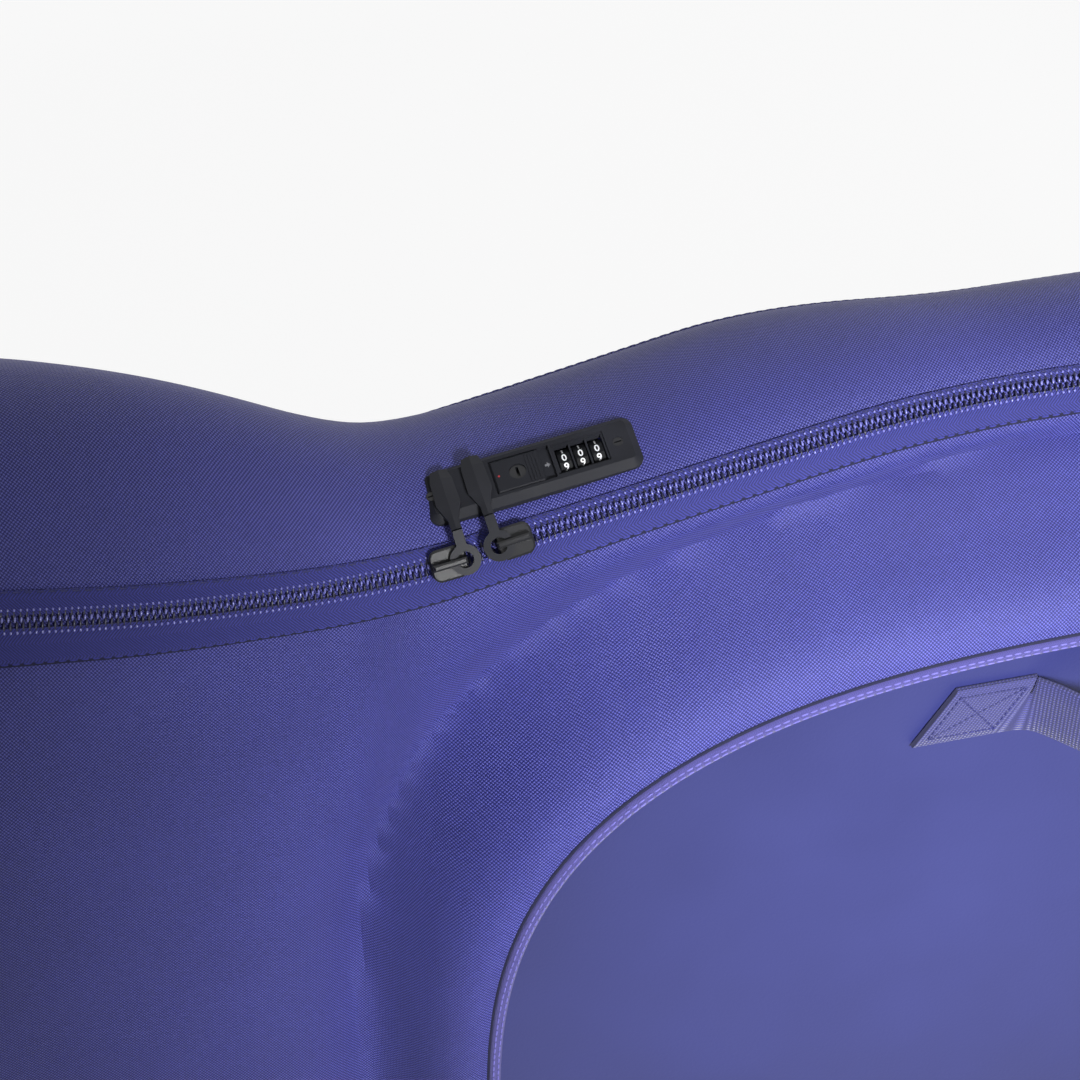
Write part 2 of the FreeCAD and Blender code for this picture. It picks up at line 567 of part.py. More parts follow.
def build_base():
    """Tray, skid rails, feet, screws and the two wheels with their brackets."""
    tray = base_outline(TRAY_SIDE, TRAY_BOTTOM).extrude(Vector(0, 0, TRAY_TOP - TRAY_BOTTOM))
    pocket = base_outline(TRAY_SIDE - TRAY_WALL, TRAY_FLOOR).extrude(Vector(0, 0, TRAY_TOP))
    tray = tray.cut(pocket)
    for x in (-440.0, -140.0, 300.0):
        rib = box(x - 3.0, x + 3.0, -BASE_HALF + 8.0, BASE_HALF - 8.0, TRAY_FLOOR - 0.5, TRAY_FLOOR + 12.0)
        tray = tray.fuse(rib)
    half = BRACKET_LONG / 2.0
    for side in (-1.0, 1.0):
        low, high = sorted((side * BRACKET_IN, side * BRACKET_OUT))
        tray = tray.cut(box(WHEEL_X - half - 0.3, WHEEL_X + half + 0.3, low - 0.3, high + 0.3, 0.0, TRAY_TOP + 1.0))
        arch = rod(Vector(WHEEL_X, side * BRACKET_OUT, WHEEL_R), Vector(0, side, 0), WHEEL_R + WHEEL_GAP, 20.0)
        tray = tray.cut(arch)
    tray = tray.cut(box(-450, 450, -24.0, 24.0, TRAY_FLOOR, TRAY_FLOOR + 20.0))
    save("base_tray", tray)

    rails, screws = [], []
    for side in (-1.0, 1.0):
        rail = box(-470.0, 460.0, side * RAIL_HALF_Y - 10.0, side * RAIL_HALF_Y + 10.0, 10.0, TRAY_BOTTOM)
        rail = rail.makeChamfer(6.0, [e for e in rail.Edges if e.BoundBox.ZMax < 10.01])
        for x in (-420.0, -140.0, 140.0, 410.0):
            seat = rod(Vector(x, side * RAIL_HALF_Y, 9.0), Vector(0, 0, 1), 4.6, 4.0)
            rail = rail.cut(seat)
            head = rod(Vector(x, side * RAIL_HALF_Y, 10.6), Vector(0, 0, 1), 4.3, 2.4)
            screws.append(head.cut(box(x - 3.0, x + 3.0, side * RAIL_HALF_Y - 0.5, side * RAIL_HALF_Y + 0.5, 10.0, 11.6)))
        rails.append(rail)
    save("skid_rails", rails)
    save("base_screws", screws)

    feet = []
    for side in (-1.0, 1.0):
        foot = Part.makeCone(FOOT_R - 4.0, FOOT_R, TRAY_BOTTOM, Vector(FOOT_X, side * FOOT_Y, 0.0), Vector(0, 0, 1))
        feet.append(rounded(foot, 2.0, lambda e: e.BoundBox.ZMax < 0.01))
    save("front_feet", feet)

    for name, side in (("near", -1.0), ("far", 1.0)):
        low, high = sorted((side * BRACKET_IN, side * BRACKET_OUT))
        bracket = box(WHEEL_X - half, WHEEL_X + half, low, high, TRAY_BOTTOM, TRAY_TOP)
        centre = Vector(WHEEL_X, side * WHEEL_Y, WHEEL_R)
        inner = WHEEL_WIDE / 2.0 + 1.3
        y_axis = Vector(0, 1, 0)
        room = rod(centre - y_axis * inner, y_axis, WHEEL_R + WHEEL_GAP, 2.0 * inner)
        bore = rod(Vector(WHEEL_X, low - 1.0, WHEEL_R), y_axis, AXLE_R + FIT_GAP, high - low + 2.0)
        bracket = bracket.cut(room).cut(bore)
        sight = rod(Vector(WHEEL_X, side * (WHEEL_Y + inner), WHEEL_R), Vector(0, side, 0), WHEEL_R + WHEEL_GAP, 30.0)
        strut = box(WHEEL_X - 12.0, WHEEL_X + 12.0, low - 5.0, high + 5.0, 20.0, 90.0)
        bracket = bracket.cut(sight.cut(strut))
        save("%s_wheel_bracket" % name, bracket)
        save("%s_wheel_axle" % name, rod(Vector(WHEEL_X, low + 0.5, WHEEL_R), y_axis, AXLE_R, high - low - 1.0))
        start = centre - y_axis * (WHEEL_WIDE / 2.0)
        tyre = rod(start, y_axis, WHEEL_R, WHEEL_WIDE)
        tyre = tyre.makeFillet(7.0, [e for e in tyre.Edges if len(e.Vertexes) == 1])
        save("%s_tyre" % name, tyre.cut(rod(start, y_axis, HUB_R + FIT_GAP, WHEEL_WIDE)))
        hub = rod(start + y_axis, y_axis, HUB_R, WHEEL_WIDE - 2.0)
        hub = hub.cut(rod(start, y_axis, BEARING_R - 2.0, WHEEL_WIDE))
        bearings = []
        for seat_y in (1.0, WHEEL_WIDE - 1.0 - BEARING_WIDE):
            seat = start + y_axis * seat_y
            hub = hub.cut(rod(seat, y_axis, BEARING_R + FIT_GAP, BEARING_WIDE))
            ring = rod(seat, y_axis, BEARING_R, BEARING_WIDE)
            bearings.append(ring.cut(rod(seat, y_axis, AXLE_R + FIT_GAP, BEARING_WIDE)))
        for k in range(5):
            turn = math.radians(72.0 * k + 18.0)
            spot = start + Vector(17.5 * math.cos(turn), 0.0, 17.5 * math.sin(turn))
            hub = hub.cut(rod(spot, y_axis, 4.0, WHEEL_WIDE))
        save("%s_hub" % name, hub)
        save("%s_bearings" % name, bearings)

    bead = rod(Vector(-520.0, HINGE_Y, SHELL_BOTTOM), Vector(1, 0, 0), HINGE_BEAD_R, 1010.0)
    leaf_y = -BASE_HALF - TRAY_SIDE - 0.2
    leaf = box(-520.0, 490.0, leaf_y - 1.2, leaf_y, TRAY_BOTTOM + 20.0, SHELL_BOTTOM)
    save("hinge_strip", bead.fuse(leaf))
    flap_bottom = SHELL_BOTTOM + HINGE_BEAD_R + 0.6
    flap = envelope(SKIN_GAP + 1.2).cut(envelope(SKIN_GAP))
    save("door_hinge_flap", flap.common(box(-520.0, 490.0, -300, 0, flap_bottom, flap_bottom + 26.0)))


def strap_band(length, rise):
    """Webbing handle on the plane z = 0, along local X, width on local Y."""
    half = length / 2.0
    flat = half - STRAP_PATCH
    xs = [-flat + 2.0 * flat * k / 16.0 for k in range(17)]
    arch = [(x, rise * smooth_step((flat - abs(x)) / (0.72 * flat))) for x in xs]
    edges = []
    for lift in (0.0, STRAP_THICK):
        points = [Vector(x, -STRAP_WIDE / 2.0, z + lift) for x, z in arch]
        bow = Part.BSplineCurve()
        bow.interpolate(points)
        first, last = Vector(-half, points[0].y, lift), Vector(half, points[0].y, lift)
        edges += [Part.makeLine(first, points[0]), bow.toShape(), Part.makeLine(points[-1], last)]
    for end in (-half, half):
        low = Vector(end, -STRAP_WIDE / 2.0, 0.0)
        edges.append(Part.makeLine(low, low + Vector(0, 0, STRAP_THICK)))
    return Part.Face(Part.Wire(Part.__sortEdges__(edges))).extrude(Vector(0, STRAP_WIDE, 0))


def build_handles():
    """Webbing handles on the two round panels and on the two ends."""
    seat = PANEL_Y + PANEL_THICK + 3.0 * FIT_GAP
    near = frame_at(Vector(HANDLE_X, -seat, HANDLE_Z), Vector(1, 0, 0), Vector(0, -1, 0))
    door_handle = placed(strap_band(SIDE_STRAP_LONG, STRAP_RISE), near)
    save("door_handle", door_handle)
    save("far_handle", mirrored(door_handle))
    for name, end in (("front", -1.0), ("rear", 1.0)):
        x = end * (CASE_LENGTH / 2.0 + 0.2)
        spot = frame_at(Vector(x, 0.0, 430.0), Vector(0, 0, 1), Vector(end, 0, 0))
        save("%s_handle" % name, placed(strap_band(END_STRAP_LONG, STRAP_RISE), spot))


def build_inside():
    """Rail, fork stand, frame cradle, straps and buckles."""
    rail_top = TRAY_FLOOR + 14.0
    rail = box(-430.0, 430.0, -20.0, 20.0, TRAY_FLOOR + FIT_GAP, rail_top)
    rail = rail.cut(box(-431.0, 431.0, -6.0, 6.0, rail_top - 5.0, rail_top + 1.0))
    save("frame_rail", rail)
    outer = FORK_WIDTH / 2.0 - 6.0
    axle_z = STAND_AXLE_Z
    stand = box(STAND_X - 45.0, STAND_X + 45.0, -outer, outer, rail_top + FIT_GAP, rail_top + 8.0)
    for side in (-1.0, 1.0):
        low, high = sorted((side * (outer - 6.0), side * outer))
        foot, head = rail_top + 4.0, axle_z + 16.0
        points = [Vector(STAND_X - 45.0, low, foot), Vector(STAND_X + 45.0, low, foot),
                  Vector(STAND_X + 16.0, low, head), Vector(STAND_X - 16.0, low, head)]
        stand = stand.fuse(polygon_prism(points, Vector(0, high - low, 0)))
    sleeve = rod(Vector(STAND_X, -FORK_WIDTH / 2.0, axle_z), Vector(0, 1, 0), FORK_AXLE_R + 5.0, FORK_WIDTH)
    bore = rod(Vector(STAND_X, -100.0, axle_z), Vector(0, 1, 0), FORK_AXLE_R + FIT_GAP, 200.0)
    save("fork_stand", stand.fuse(sleeve).cut(bore).removeSplitter())
    cradle_top = 220.0
    cradle = box(CRADLE_X - 70.0, CRADLE_X + 70.0, -45.0, 45.0, rail_top + FIT_GAP, cradle_top)
    groove = rod(Vector(CRADLE_X - 80.0, 0, cradle_top), Vector(1, 0, 0), 26.0, 160.0)
    cradle = cradle.cut(groove)
    cradle = cradle.makeFillet(8.0, [e for e in cradle.Edges if e.BoundBox.ZLength > 100.0])
    save("frame_cradle", cradle)
    straps, buckles = [], []
    for x in (CRADLE_X - 40.0, CRADLE_X + 40.0):
        points = [Vector(x - 12.5, y, z) for y, z in ((-45.3, 70.0), (-45.3, cradle_top + 0.3), (45.3, cradle_top + 0.3),
                  (45.3, 70.0), (47.3, 70.0), (47.3, cradle_top + 2.3), (-47.3, cradle_top + 2.3), (-47.3, 70.0))]
        straps.append(polygon_prism(points, Vector(25.0, 0, 0)))
        buckle = box(x - 17.0, x + 17.0, -52.6, -47.6, 150.0, 178.0)
        buckles.append(buckle.makeFillet(1.5, [e for e in buckle.Edges if e.BoundBox.YMax < -52.5]))
    save("frame_straps", straps)
    save("strap_buckles", buckles)


def main():
    lock = lock_frame()
    hole = placed(lock_hole_shape(), lock)
    for screw in lock_screw_holes(SCREW_R + 0.7):
        hole = hole.fuse(placed(screw, lock))
    build_shells(hole)
    build_zip()
    for name, x, side in (("left", LEFT_SLIDER_X, 1.0), ("right", RIGHT_SLIDER_X, -1.0)):
        frame = slider_frame(x)
        save("%s_slider" % name, placed(slider(side), frame))
        save("%s_puller" % name, placed(puller(side, frame, lock), frame))
    build_lock(lock)
    build_base()
    build_handles()
    build_inside()


if __name__ == "__main__":
    main()
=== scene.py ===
"""Soft bike travel case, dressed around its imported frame.

Metres, +Z up, +X towards the rear wheels, the zipped door on -Y.
"""

import json
import logging
import math
from dataclasses import dataclass
from enum import Enum
from typing import Any, Callable, Iterable, Sequence

import bpy
from mathutils import Matrix, Vector, noise

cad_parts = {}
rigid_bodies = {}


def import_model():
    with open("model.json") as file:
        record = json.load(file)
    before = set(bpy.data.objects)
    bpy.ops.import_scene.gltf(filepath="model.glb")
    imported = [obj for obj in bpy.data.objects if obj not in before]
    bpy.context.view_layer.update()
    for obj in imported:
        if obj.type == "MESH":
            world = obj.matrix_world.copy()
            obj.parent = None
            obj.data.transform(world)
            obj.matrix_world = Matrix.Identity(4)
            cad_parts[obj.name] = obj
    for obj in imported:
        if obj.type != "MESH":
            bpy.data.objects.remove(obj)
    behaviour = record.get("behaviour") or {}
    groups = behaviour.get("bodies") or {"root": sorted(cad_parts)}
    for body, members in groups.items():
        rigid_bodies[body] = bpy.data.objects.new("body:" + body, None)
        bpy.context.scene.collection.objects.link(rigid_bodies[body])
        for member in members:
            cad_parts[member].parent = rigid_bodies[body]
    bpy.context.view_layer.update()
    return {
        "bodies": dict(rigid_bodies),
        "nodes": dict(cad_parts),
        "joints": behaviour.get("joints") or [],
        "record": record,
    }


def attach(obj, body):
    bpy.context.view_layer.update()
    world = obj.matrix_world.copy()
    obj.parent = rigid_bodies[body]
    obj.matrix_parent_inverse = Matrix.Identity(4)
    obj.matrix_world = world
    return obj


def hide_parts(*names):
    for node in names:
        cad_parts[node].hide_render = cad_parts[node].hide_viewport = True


LOG = logging.getLogger("bike_case")
MM = 0.001

# Scale of a wave texture whose bands are one unit wide.
BAND = 0.31416
# Edges sharper than this stay sharp when a piece is shaded smooth.
CREASE = math.radians(40.0)
# Power that blunts the ends of a sewn or moulded bead.
BLUNTNESS = 0.7
WHITE = (1.0, 1.0, 1.0, 1.0)

Station = tuple[str, float, float]
Bead = tuple[float, float, float, float, float]
Spot = tuple[Vector, Vector]
Profile = Sequence[tuple[float, float]]
Shape = tuple[list[Vector], list[tuple[int, ...]]]
Sweep = tuple[float, float, float]
Climb = tuple[float, float, float, float]
Socket = bpy.types.NodeSocket


def linear(code: str) -> tuple[float, float, float, float]:
    """Turns an sRGB hex colour into a linear RGBA one.

    Args:
        code: six hex digits.

    Returns:
        Linear red, green, blue and an alpha of 1.
    """
    parts = [int(code[k:k + 2], 16) / 255.0 for k in (0, 2, 4)]
    red, green, blue = [v / 12.92 if v <= 0.04045 else ((v + 0.055) / 1.055) ** 2.4 for v in parts]
    return red, green, blue, 1.0


def smooth_step(t: float) -> float:
    """Goes from 0 to 1 with level ends."""
    t = max(0.0, min(1.0, t))
    return t * t * (3.0 - 2.0 * t)


def smooth_ramp(t: float, corner: float) -> float:
    """Nought below, t above, with a round corner between."""
    if t < -corner:
        return 0.0
    return t if t > corner else (t + corner) ** 2 / (4.0 * corner)


def smooth_max(a: float, b: float, blend: float) -> float:
    """The larger of two values, blended where they are close."""
    share = max(0.0, blend - abs(a - b)) / blend
    return max(a, b) + 0.25 * blend * share * share


def swept(start: float, sweeps: Sequence[Sweep], x: float) -> float:
    """Adds smooth changes to a value, each with its amount, its first x and its run."""
    return start + sum(amount * smooth_step((x - first) / run) for amount, first, run in sweeps)


@dataclass(frozen=True)
class Graph:
    """A node tree, with short ways to add the nodes that the finishes share."""

    tree: bpy.types.NodeTree

    def fill(self, node: bpy.types.Node, inputs: dict[Any, Any]) -> None:
        """Links sockets to a node's inputs, or sets the inputs' own values."""
        for name, value in inputs.items():
            if isinstance(value, bpy.types.NodeSocket):
                self.tree.links.new(value, node.inputs[name])
            else:
                node.inputs[name].default_value = value

    def add(self, kind: str, inputs: dict[Any, Any], **settings: Any) -> bpy.types.Node:
        """Adds a node with its settings and links.

        Args:
            kind: the node's type, without its prefix.
            inputs: values or sockets by input name or index.
            settings: the node's own properties.

        Returns:
            The new node.
        """
        made = self.tree.nodes.new("ShaderNode" + kind)
        for name, value in settings.items():
            setattr(made, name, value)
        self.fill(made, inputs)
        return made

    def place(self, kind: str) -> Socket:
        """Returns texture coordinates, UV or Object."""
        return self.add("TexCoord", {}).outputs[kind]

    def math(self, operation: str, *values: Any, clamp: bool = False) -> Socket:
        """Returns the result of an operation on values or sockets."""
        return self.add("Math", dict(enumerate(values)), operation=operation, use_clamp=clamp).outputs[0]

    def noise(self, place: Socket, scale: float, detail: float = 2.0) -> Socket:
        """Returns cloudy noise."""
        return self.add("TexNoise", {"Vector": place, "Scale": scale, "Detail": detail}).outputs["Fac"]

    def wave(self, place: Socket, width: float, axis: str = "X") -> Socket:
        """Returns soft bands of a width, side by side along an axis."""
        inputs = {"Vector": place, "Scale": BAND / width}
        return self.add("TexWave", inputs, bands_direction=axis).outputs["Fac"]

    def span(self, value: Socket, low: float, high: float,
             source: tuple[float, float] = (0.0, 1.0)) -> Socket:
        """Returns a value mapped from its source range to one from low to high."""
        limits = {"From Min": source[0], "From Max": source[1], "To Min": low, "To Max": high}
        return self.add("MapRange", {"Value": value, **limits}).outputs[0]

    def mix(self, factor: Any, first: Socket, second: Socket) -> Socket:
        """Returns a mix of two values."""
        return self.add("Mix", {"Factor": factor, "A": first, "B": second}).outputs[0]

    def colours(self, factor: Any, first: Any, second: Any, blend: str = "MIX") -> Socket:
        """Returns a mix of two colours."""
        inputs = {"Factor": factor, "A": first, "B": second}
        return self.add("Mix", inputs, data_type="RGBA", blend_type=blend).outputs["Result"]

    def bump(self, height: Socket, distance: float, strength: float) -> Socket:
        """Returns the normal of a fine relief."""
        inputs = {"Height": height, "Distance": distance, "Strength": strength}
        return self.add("Bump", inputs).outputs[0]

    def seen_directly(self) -> Socket:
        """Tells whether a ray comes from the camera, a glossy surface or glass."""
        ray = self.add("LightPath", {}).outputs
        glossy = self.math("MAXIMUM", ray["Is Camera Ray"], ray["Is Glossy Ray"])
        return self.math("MAXIMUM", glossy, ray["Is Transmission Ray"])


@dataclass(frozen=True)
class Finish:
    """Base of all finishes: a named material with a principled surface."""

    name: str
    colour: str
    roughness: float = 0.6
    ior: float = 1.5
    metallic: float = 0.0

    def start(self) -> tuple[bpy.types.Material, Graph, bpy.types.Node]:
        """Makes the material and its surface node.

        Returns:
            The material, its graph and its principled node.
        """
        material = bpy.data.materials.new(self.name)
        material.use_nodes = True
        graph = Graph(material.node_tree)
        surface = material.node_tree.nodes["Principled BSDF"]
        graph.fill(surface, {"Roughness": self.roughness, "IOR": self.ior, "Metallic": self.metallic})
        return material, graph, surface

    def material(self) -> bpy.types.Material:
        """Returns the finished material, made once."""
        known = bpy.data.materials.get(self.name)
        return known if known else self.make()

    def make(self) -> bpy.types.Material:
        """Builds the material; each finish has its own way."""
        raise NotImplementedError


@dataclass(frozen=True)
class WovenCloth(Finish):
    """Plain weave of dark threads with paler ones among them, on the piece's UV map in metres."""

    pale: str = "5C5EAC"
    thread: float = 1.2 * MM
    bias: float = 40.0
    depth: float = 0.4 * MM
    shine: float = 0.3
    sheen: float = 0.03
    patch_scale: float = 14.0

    def make(self) -> bpy.types.Material:
        """Mixes warp and weft by a check, so that they pass over and under."""
        material, graph, surface = self.start()
        turn = (0.0, 0.0, math.radians(self.bias))
        place = graph.add("Mapping", {"Vector": graph.place("UV"), "Rotation": turn}).outputs[0]
        warp = graph.wave(place, self.thread, "X")
        weft = graph.wave(place, self.thread, "Y")
        check = graph.add("TexChecker", {"Vector": place, "Scale": 1.0 / self.thread}).outputs["Fac"]
        over = graph.mix(check, warp, weft)
        rise = graph.mix(0.6, over, graph.math("MULTIPLY", warp, weft))
        yarn = graph.noise(place, 0.4 / self.thread)
        uneven = graph.math("ADD", yarn, graph.noise(place, self.patch_scale))
        thread = graph.span(rise, 0.0, 1.0, (0.12, 0.68))
        cloth = graph.colours(thread, linear(self.colour), linear(self.pale))
        tone = graph.span(uneven, 0.86, 1.14, (0.6, 1.4))
        graph.fill(surface, {
            "Base Color": graph.colours(1.0, cloth, tone, "MULTIPLY"),
            "Normal": graph.bump(rise, self.depth, 0.7),
            "Specular IOR Level": self.shine,
            "Sheen Weight": self.sheen,
            "Sheen Roughness": 0.5,
        })
        return material


@dataclass(frozen=True)
class TwillTape(Finish):
    """Herringbone tape: fine slanted ribs that turn back every few millimetres."""

    pale: str = "4A4CA0"
    rib: float = 0.95 * MM
    turn: float = 6.6 * MM
    fuzz_scale: float = 2500.0

    def make(self) -> bpy.types.Material:
        """Folds the length back and forth across the width and bands the sum."""
        material, graph, surface = self.start()
        place = graph.place("UV")
        parts = graph.add("SeparateXYZ", {0: place}).outputs
        slant = graph.math("ADD", parts[0], graph.math("PINGPONG", parts[1], self.turn))
        ribs = graph.wave(graph.add("CombineXYZ", {0: slant}).outputs[0], self.rib)
        fuzzy = graph.math("MULTIPLY", ribs, graph.noise(place, self.fuzz_scale))
        tone = graph.math("MULTIPLY", fuzzy, 1.7, clamp=True)
        graph.fill(surface, {
            "Base Color": graph.colours(tone, linear(self.colour), linear(self.pale)),
            "Normal": graph.bump(ribs, 0.25 * MM, 0.7),
            "Sheen Weight": 0.15,
        })
        return material


@dataclass(frozen=True)
class CoatedCloth(Finish):
    """Coated tarpaulin: a smooth satin skin with a faint pebble and soft cloudiness."""

    pale: str = "626AA8"
    pebble: float = 1.6 * MM
    cloud_scale: float = 22.0

    def make(self) -> bpy.types.Material:
        """Clouds the colour and pebbles the surface."""
        material, graph, surface = self.start()
        place = graph.place("Object")
        cloud = graph.noise(place, self.cloud_scale, 3.0)
        graph.fill(surface, {
            "Base Color": graph.colours(cloud, linear(self.colour), linear(self.pale)),
            "Roughness": graph.span(cloud, self.roughness - 0.08, self.roughness + 0.1),
            "Normal": graph.bump(graph.noise(place, 1.0 / self.pebble), 0.2 * MM, 0.35),
        })
        return material


@dataclass(frozen=True)
class RibbedWebbing(Finish):
    """Heavy webbing: ribs straight across it, beaded by the warp, on the piece's UV map in metres."""

    pale: str = "3A3B7E"
    rib: float = 1.7 * MM
    beads_per_rib: float = 1.3

    def make(self) -> bpy.types.Material:
        """Bands the width into ribs and beads each rib along its length."""
        material, graph, surface = self.start()
        place = graph.place("UV")
        ribs = graph.wave(place, self.rib, "X")
        beads = graph.wave(place, self.rib / self.beads_per_rib, "Y")
        rise = graph.math("MULTIPLY_ADD", ribs, beads, 0.3)
        graph.fill(surface, {
            "Base Color": graph.colours(rise, linear(self.colour), linear(self.pale)),
            "Normal": graph.bump(rise, 0.4 * MM, 0.8),
            "Sheen Weight": 0.2,
        })
        return material


@dataclass(frozen=True)
class Moulding(Finish):
    """Moulded plastic or rubber with a spark-eroded grain, paler in random patches of wear."""

    worn: str = "3A3B42"
    grit: float = 0.7 * MM
    relief: float = 0.08 * MM
    shine: float = 0.5
    smear_scale: float = 60.0

    def make(self) -> bpy.types.Material:
        """Grains the surface, varies its gloss and wears it in random patches."""
        material, graph, surface = self.start()
        place = graph.place("Object")
        smear = graph.noise(place, self.smear_scale, 4.0)
        wear = graph.span(smear, 0.0, 0.6, (0.45, 0.8))
        graph.fill(surface, {
            "Base Color": graph.colours(wear, linear(self.colour), linear(self.worn)),
            "Roughness": graph.span(smear, self.roughness - 0.1, self.roughness + 0.12),
            "Normal": graph.bump(graph.noise(place, 1.0 / self.grit, 3.0), self.relief, 0.6),
            "Specular IOR Level": self.shine,
        })
        return material


@dataclass(frozen=True)
class BrushedMetal(Finish):
    """Drawn or plated metal with fine brush lines along its length."""

    line: float = 0.6 * MM
    stretch: float = 0.04

    def make(self) -> bpy.types.Material:
        """Stretches noise into lines for the gloss and the colour."""
        material, graph, surface = self.start()
        drawn = {"Vector": graph.place("Object"), "Scale": (self.stretch, 1.0, 1.0)}
        lines = graph.noise(graph.add("Mapping", drawn).outputs[0], 1.0 / self.line)
        tint = graph.span(lines, 0.8, 1.1)
        graph.fill(surface, {
            "Base Color": graph.colours(1.0, linear(self.colour), tint, "MULTIPLY"),
            "Roughness": graph.span(lines, self.roughness - 0.1, self.roughness + 0.14),
        })
        return material


# Shell polyester: a crisp violet-blue weave whose dark gaps show between the threads.
SHELL_CLOTH = WovenCloth("woven_polyester_shell", "0C0E54", 0.5)
# Wheel panel: smooth coated skin, a touch bluer than the weave and softly glossy.
PANEL_CLOTH = CoatedCloth("coated_tarpaulin", "22265A", 0.45, pale="282C62")
# Edge binding: the palest violet on the case, a thin line round each wheel panel.
EDGE_CLOTH = TwillTape("pale_edge_binding", "35326E", 0.8, pale="4F4B92", rib=0.8 * MM, turn=1.6 * MM)
# Seam shadow: a dark strip painted as the shadow that a folded edge casts on the cloth.
SEAM_SHADOW = Moulding("painted_seam_shadow", "101230", 0.9, worn="181A40")
# Hinge tape and zip tape: saturated navy twill, darker than the shell.
BINDING_CLOTH = TwillTape("folded_binding_tape", "23255C", 0.8, pale="4446A0")
ZIP_TAPE = TwillTape("herringbone_zip_tape", "15174F", 0.8, pale="373A92", rib=1.5 * MM)
# Coil: glossy navy nylon; the crowns' much paler colour, and its paler patches, are a painted highlight where
# they catch small lights.
COIL_NYLON = Moulding("nylon_zip_coil", "0A0B2C", 0.35, worn="101238", grit=1.2 * MM, relief=0.02 * MM)
COIL_HIGHLIGHT = Moulding("nylon_coil_painted_highlight", "6C6EBE", 0.2, worn="8082D0", grit=1.2 * MM,
                      relief=0.02 * MM, shine=1.0)
# Sewing yarns: pale on the wheel panel's seam, darker on the tapes and handles.
STITCH_YARN = Moulding("bonded_stitch_yarn", "6C68B4", 0.6, worn="7C78C4", grit=0.5 * MM, shine=0.3)
DARK_YARN = Moulding("dark_stitch_yarn", "191B50", 0.6, worn="2A2C70", grit=0.5 * MM)
TAPE_YARN = Moulding("tape_stitch_yarn", "3A3C8A", 0.6, worn="4A4C9C", grit=0.5 * MM, shine=0.2)
# Handles: ribbed violet webbing with navy between the ribs.
WEBBING = RibbedWebbing("polyester_webbing", "101236", 0.75)
# Lock, sliders and pullers: charcoal to black mouldings with a soft shine.
BLACK_LACQUER = Moulding("lacquered_zinc", "141519", 0.3, worn="1F2025", grit=0.9 * MM,
                         relief=0.04 * MM, shine=0.3)
PULLER_ABS = Moulding("satin_abs_puller", "26272C", 0.4, worn="2E2F35", grit=0.5 * MM,
                      relief=0.03 * MM, shine=0.12)
LOCK_ABS = Moulding("spark_grained_abs", "26272C", 0.5, worn="303138", grit=0.45 * MM,
                    relief=0.05 * MM, shine=0.06)
# Dials and their printing: black plastic, white digits, a grey arrow and a red dot.
DIAL_ABS = Moulding("moulded_dial_abs", "0E0F12", 0.5, worn="16171B", shine=0.08)
DIGIT_INK = Moulding("white_digit_ink", "E9EAEE", 0.6, worn="D6D7DC")
MARK_INK = Moulding("grey_mark_ink", "77787E", 0.6, worn="696A70")
DOT_INK = Moulding("red_mark_ink", "A8262C", 0.6, worn="8E2026")
# Base and running gear: grained plastics, rubber feet, cast tyres on grey hubs.
BASE_PP = Moulding("grained_polypropylene", "1D1E23", 0.6, worn="34353B", grit=1.1 * MM, relief=0.2 * MM)
SKID_PE = Moulding("wear_strip_polyethylene", "2B2C31", 0.5, worn="55565C")
FOOT_RUBBER = Moulding("moulded_rubber", "17171A", 0.75, worn="2A2A2D", grit=1.3 * MM)
TYRE_PU = Moulding("cast_polyurethane_tyre", "18181B", 0.55, worn="36363A", grit=1.6 * MM)
HUB_PA = Moulding("grey_polyamide_hub", "55575E", 0.5, worn="6F7178")
# Inside: foam cradle and moulded guards.
FOAM = Moulding("closed_cell_foam", "2A2B33", 0.9, worn="3C3D46", grit=2.2 * MM, relief=0.5 * MM)
GUARD_PP = Moulding("moulded_sheet_polypropylene", "23242B", 0.55, worn="393A41")
# Metals: plated lock parts, plain screws, bearings and axles, anodised rail.
LOCK_STEEL = BrushedMetal("plated_lock_steel", "6E7076", 0.34, metallic=1.0)
PLAIN_STEEL = BrushedMetal("plain_steel", "A9ABAF", 0.34, metallic=1.0)
ANODISED = BrushedMetal("anodised_aluminium", "B9BCC2", 0.4, metallic=1.0)

NODE_FINISHES: dict[str, Finish] = {
    "zip_end_stops": BLACK_LACQUER, "left_slider": BLACK_LACQUER, "right_slider": BLACK_LACQUER,
    "left_puller": PULLER_ABS, "right_puller": PULLER_ABS,
    "lock_housing": LOCK_ABS, "lock_slide_plate": LOCK_ABS, "lock_back_plate": LOCK_ABS,
    "lock_latch_bar": LOCK_STEEL, "key_plug": BLACK_LACQUER, "dial_shaft": LOCK_STEEL,
    "lock_screws": BLACK_LACQUER,
    "dial_1": DIAL_ABS, "dial_2": DIAL_ABS, "dial_3": DIAL_ABS,
    "base_tray": BASE_PP, "near_wheel_bracket": BASE_PP, "far_wheel_bracket": BASE_PP,
    "skid_rails": SKID_PE, "base_screws": PLAIN_STEEL, "front_feet": FOOT_RUBBER,
    "near_tyre": TYRE_PU, "far_tyre": TYRE_PU, "near_hub": HUB_PA, "far_hub": HUB_PA,
    "near_bearings": PLAIN_STEEL, "far_bearings": PLAIN_STEEL,
    "near_wheel_axle": PLAIN_STEEL, "far_wheel_axle": PLAIN_STEEL,
    "frame_rail": ANODISED, "fork_stand": ANODISED, "frame_cradle": FOAM,
    "strap_buckles": GUARD_PP, "door_hub_guard": GUARD_PP, "far_hub_guard": GUARD_PP,
}


class Side(Enum):
    """Which half of the case a sewn piece is on."""

    DOOR = 1.0
    FAR = -1.0

    def body(self) -> str:
        """Returns the body that the half rides on."""
        return "door" if self is Side.DOOR else "case"

    def place(self, point: Vector) -> Vector:
        """Mirrors a door-side point to this half."""
        return Vector((point.x, point.y * self.value, point.z))


